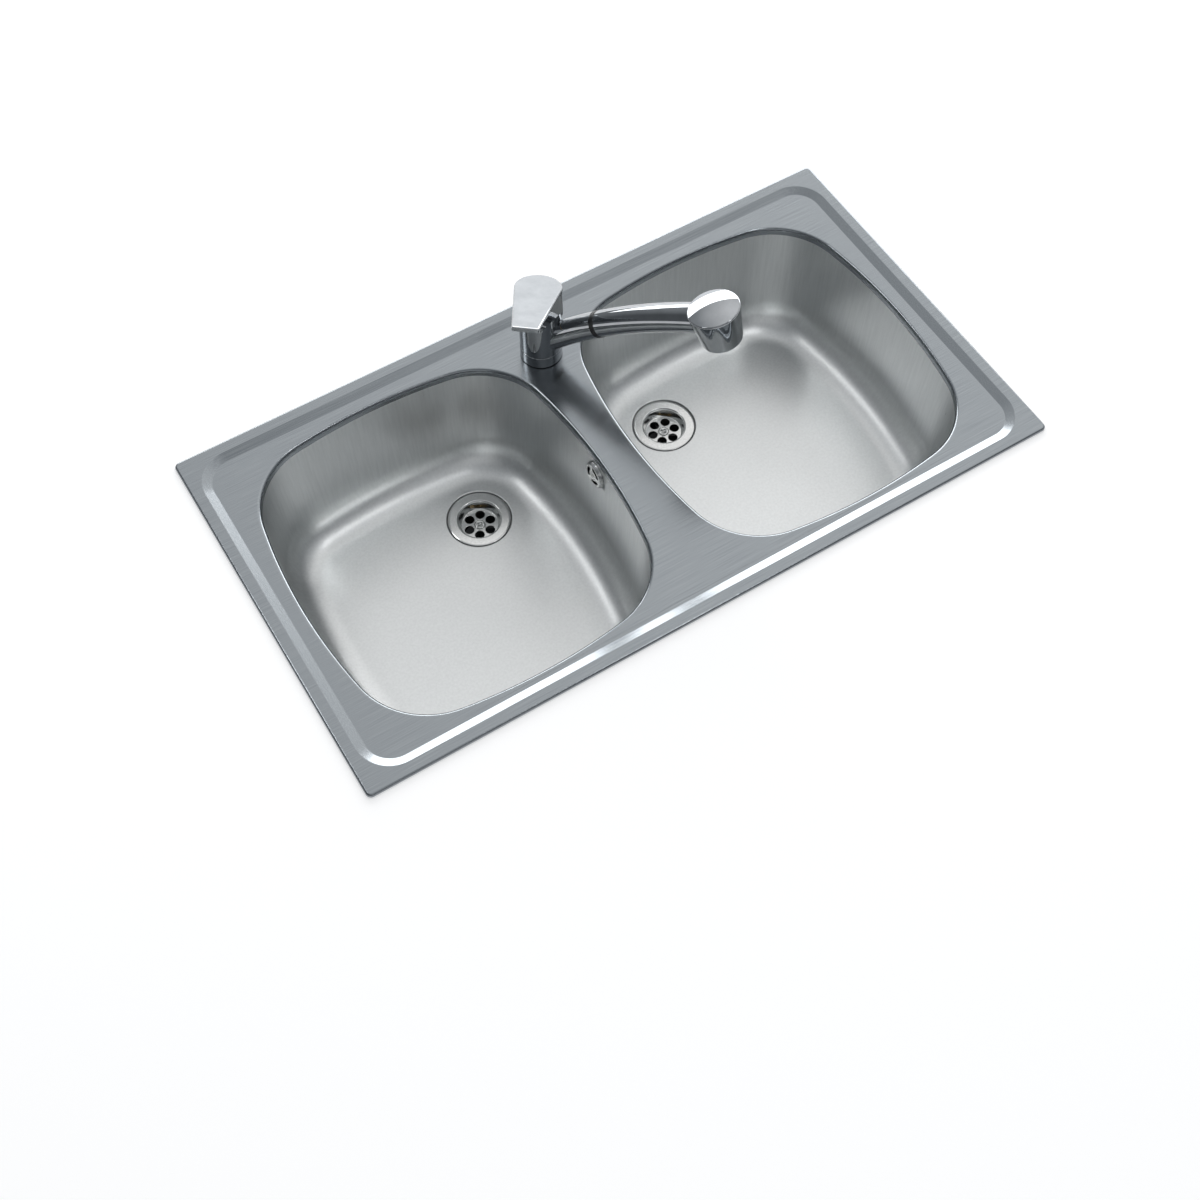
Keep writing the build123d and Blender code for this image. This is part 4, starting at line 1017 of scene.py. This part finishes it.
# ==================================================================== stage
# A plain pale floor at the level of the sink's edge, open under it, with a soft studio round them: wide
# light from behind, small panes for the bands in the bowls, and a sky that darkens away from its window.

opening_x = 390.0
opening_y = 207.5
floor_reach = 6000.0
floor_lift = 0.38
camera_place = (-0.523505, -0.826641, 1.398576)
camera_aim = (0.2587, 0.4216, -0.8692)
window_bearing = radians(50)
window_rise = radians(50)
sky_strength = 1.16

floor_mesh = bmesh.new()
opening = ring(floor_mesh, [(sx * opening_x, sy * opening_y, 0) for sx, sy in quarters])
edge = ring(floor_mesh, [(sx * floor_reach, sy * floor_reach, 0) for sx, sy in quarters])
bridge(floor_mesh, edge, opening)
floor_paint, floor_tree, floor_shader = new_material("pale_worktop", {"Roughness": 0.6})
floor_shader.inputs["Base Color"].default_value = linear("#E4E4E4")
floor_shader.inputs["Emission Color"].default_value = linear("#FFFFFF")
# The camera and the metal see the floor a little lighter than the lamps make it, which keeps its shadows.
rays = add(floor_tree, "ShaderNodeLightPath").outputs
seen = add(floor_tree, "ShaderNodeMath", {0: rays["Is Camera Ray"], 1: rays["Is Glossy Ray"]},
           operation="ADD")
all_seen = add(floor_tree, "ShaderNodeMath", {0: seen.outputs[0], 1: rays["Is Transmission Ray"]},
               operation="ADD")
lift = add(floor_tree, "ShaderNodeMath", {0: all_seen.outputs[0], 1: floor_lift}, operation="MULTIPLY")
floor_tree.links.new(lift.outputs[0], floor_shader.inputs["Emission Strength"])
floor = finished(floor_mesh, "floor", floor_paint)
if floor.data.polygons[0].normal.z < 0:
    floor.data.flip_normals()

camera_data = bpy.data.cameras.new("camera")
camera_data.lens = 48.96
camera_data.sensor_width = 36.0
camera = bpy.data.objects.new("camera", camera_data)
bpy.context.scene.collection.objects.link(camera)
camera.location = camera_place
camera.rotation_euler = Vector(camera_aim).to_track_quat("-Z", "Y").to_euler()
bpy.context.scene.camera = camera


def softbox(name, azimuth, elevation, distance, width, height, power):
    """A soft area light that faces the origin from a bearing (0 is +Y, 90 is +X) and a height angle;
    sizes in metres, power in watts."""
    light = bpy.data.lights.new(name, "AREA")
    light.shape = "RECTANGLE"
    light.size = width
    light.size_y = height
    light.energy = power
    lamp = bpy.data.objects.new(name, light)
    bpy.context.scene.collection.objects.link(lamp)
    bearing = radians(azimuth)
    rise = radians(elevation)
    away = Vector((sin(bearing) * cos(rise), cos(bearing) * cos(rise), sin(rise)))
    lamp.location = away * distance
    lamp.rotation_euler = (-away).to_track_quat("-Z", "Y").to_euler()


# The main light is wide and behind the sink, with a low strip under it for the long bright lines.
softbox("far", 30, 21, 3.0, 4.6, 1.0, 66)
softbox("low", 32, 5, 3.3, 3.4, 0.9, 11)
# A faint light from the front keeps the deck from going black when it is seen from behind.
softbox("front", 205, 40, 3.0, 2.8, 1.4, 5.5)
# Two small panes give the soft bands in the bowls.
softbox("back_band", 140, 66, 2.8, 0.45, 0.45, 4.5)
softbox("right_band", -45, 53, 2.8, 0.5, 0.5, 4.5)

# The studio is pale where its window is, behind the sink and to the right, and dark in front, which
# gives the plated pieces their dark flanks and the bowls a darker bend at the foot of their walls.
world = bpy.data.worlds.new("studio")
bpy.context.scene.world = world
world.use_nodes = True
sky = world.node_tree
background = sky.nodes["Background"].inputs
toward = add(sky, "ShaderNodeTexCoord").outputs["Generated"]
window = (sin(window_bearing) * cos(window_rise), cos(window_bearing) * cos(window_rise), sin(window_rise))
near_window = add(sky, "ShaderNodeVectorMath", {0: toward, 1: window}, operation="DOT_PRODUCT")
shades = [(0.15, "#606366"), (0.68, "#A6A9AC"), (0.97, "#FFFFFF")]
sky.links.new(ramp(sky, near_window.outputs["Value"], shades), background["Color"])
background["Strength"].default_value = sky_strength
bpy.context.scene.view_settings.view_transform = "Standard"
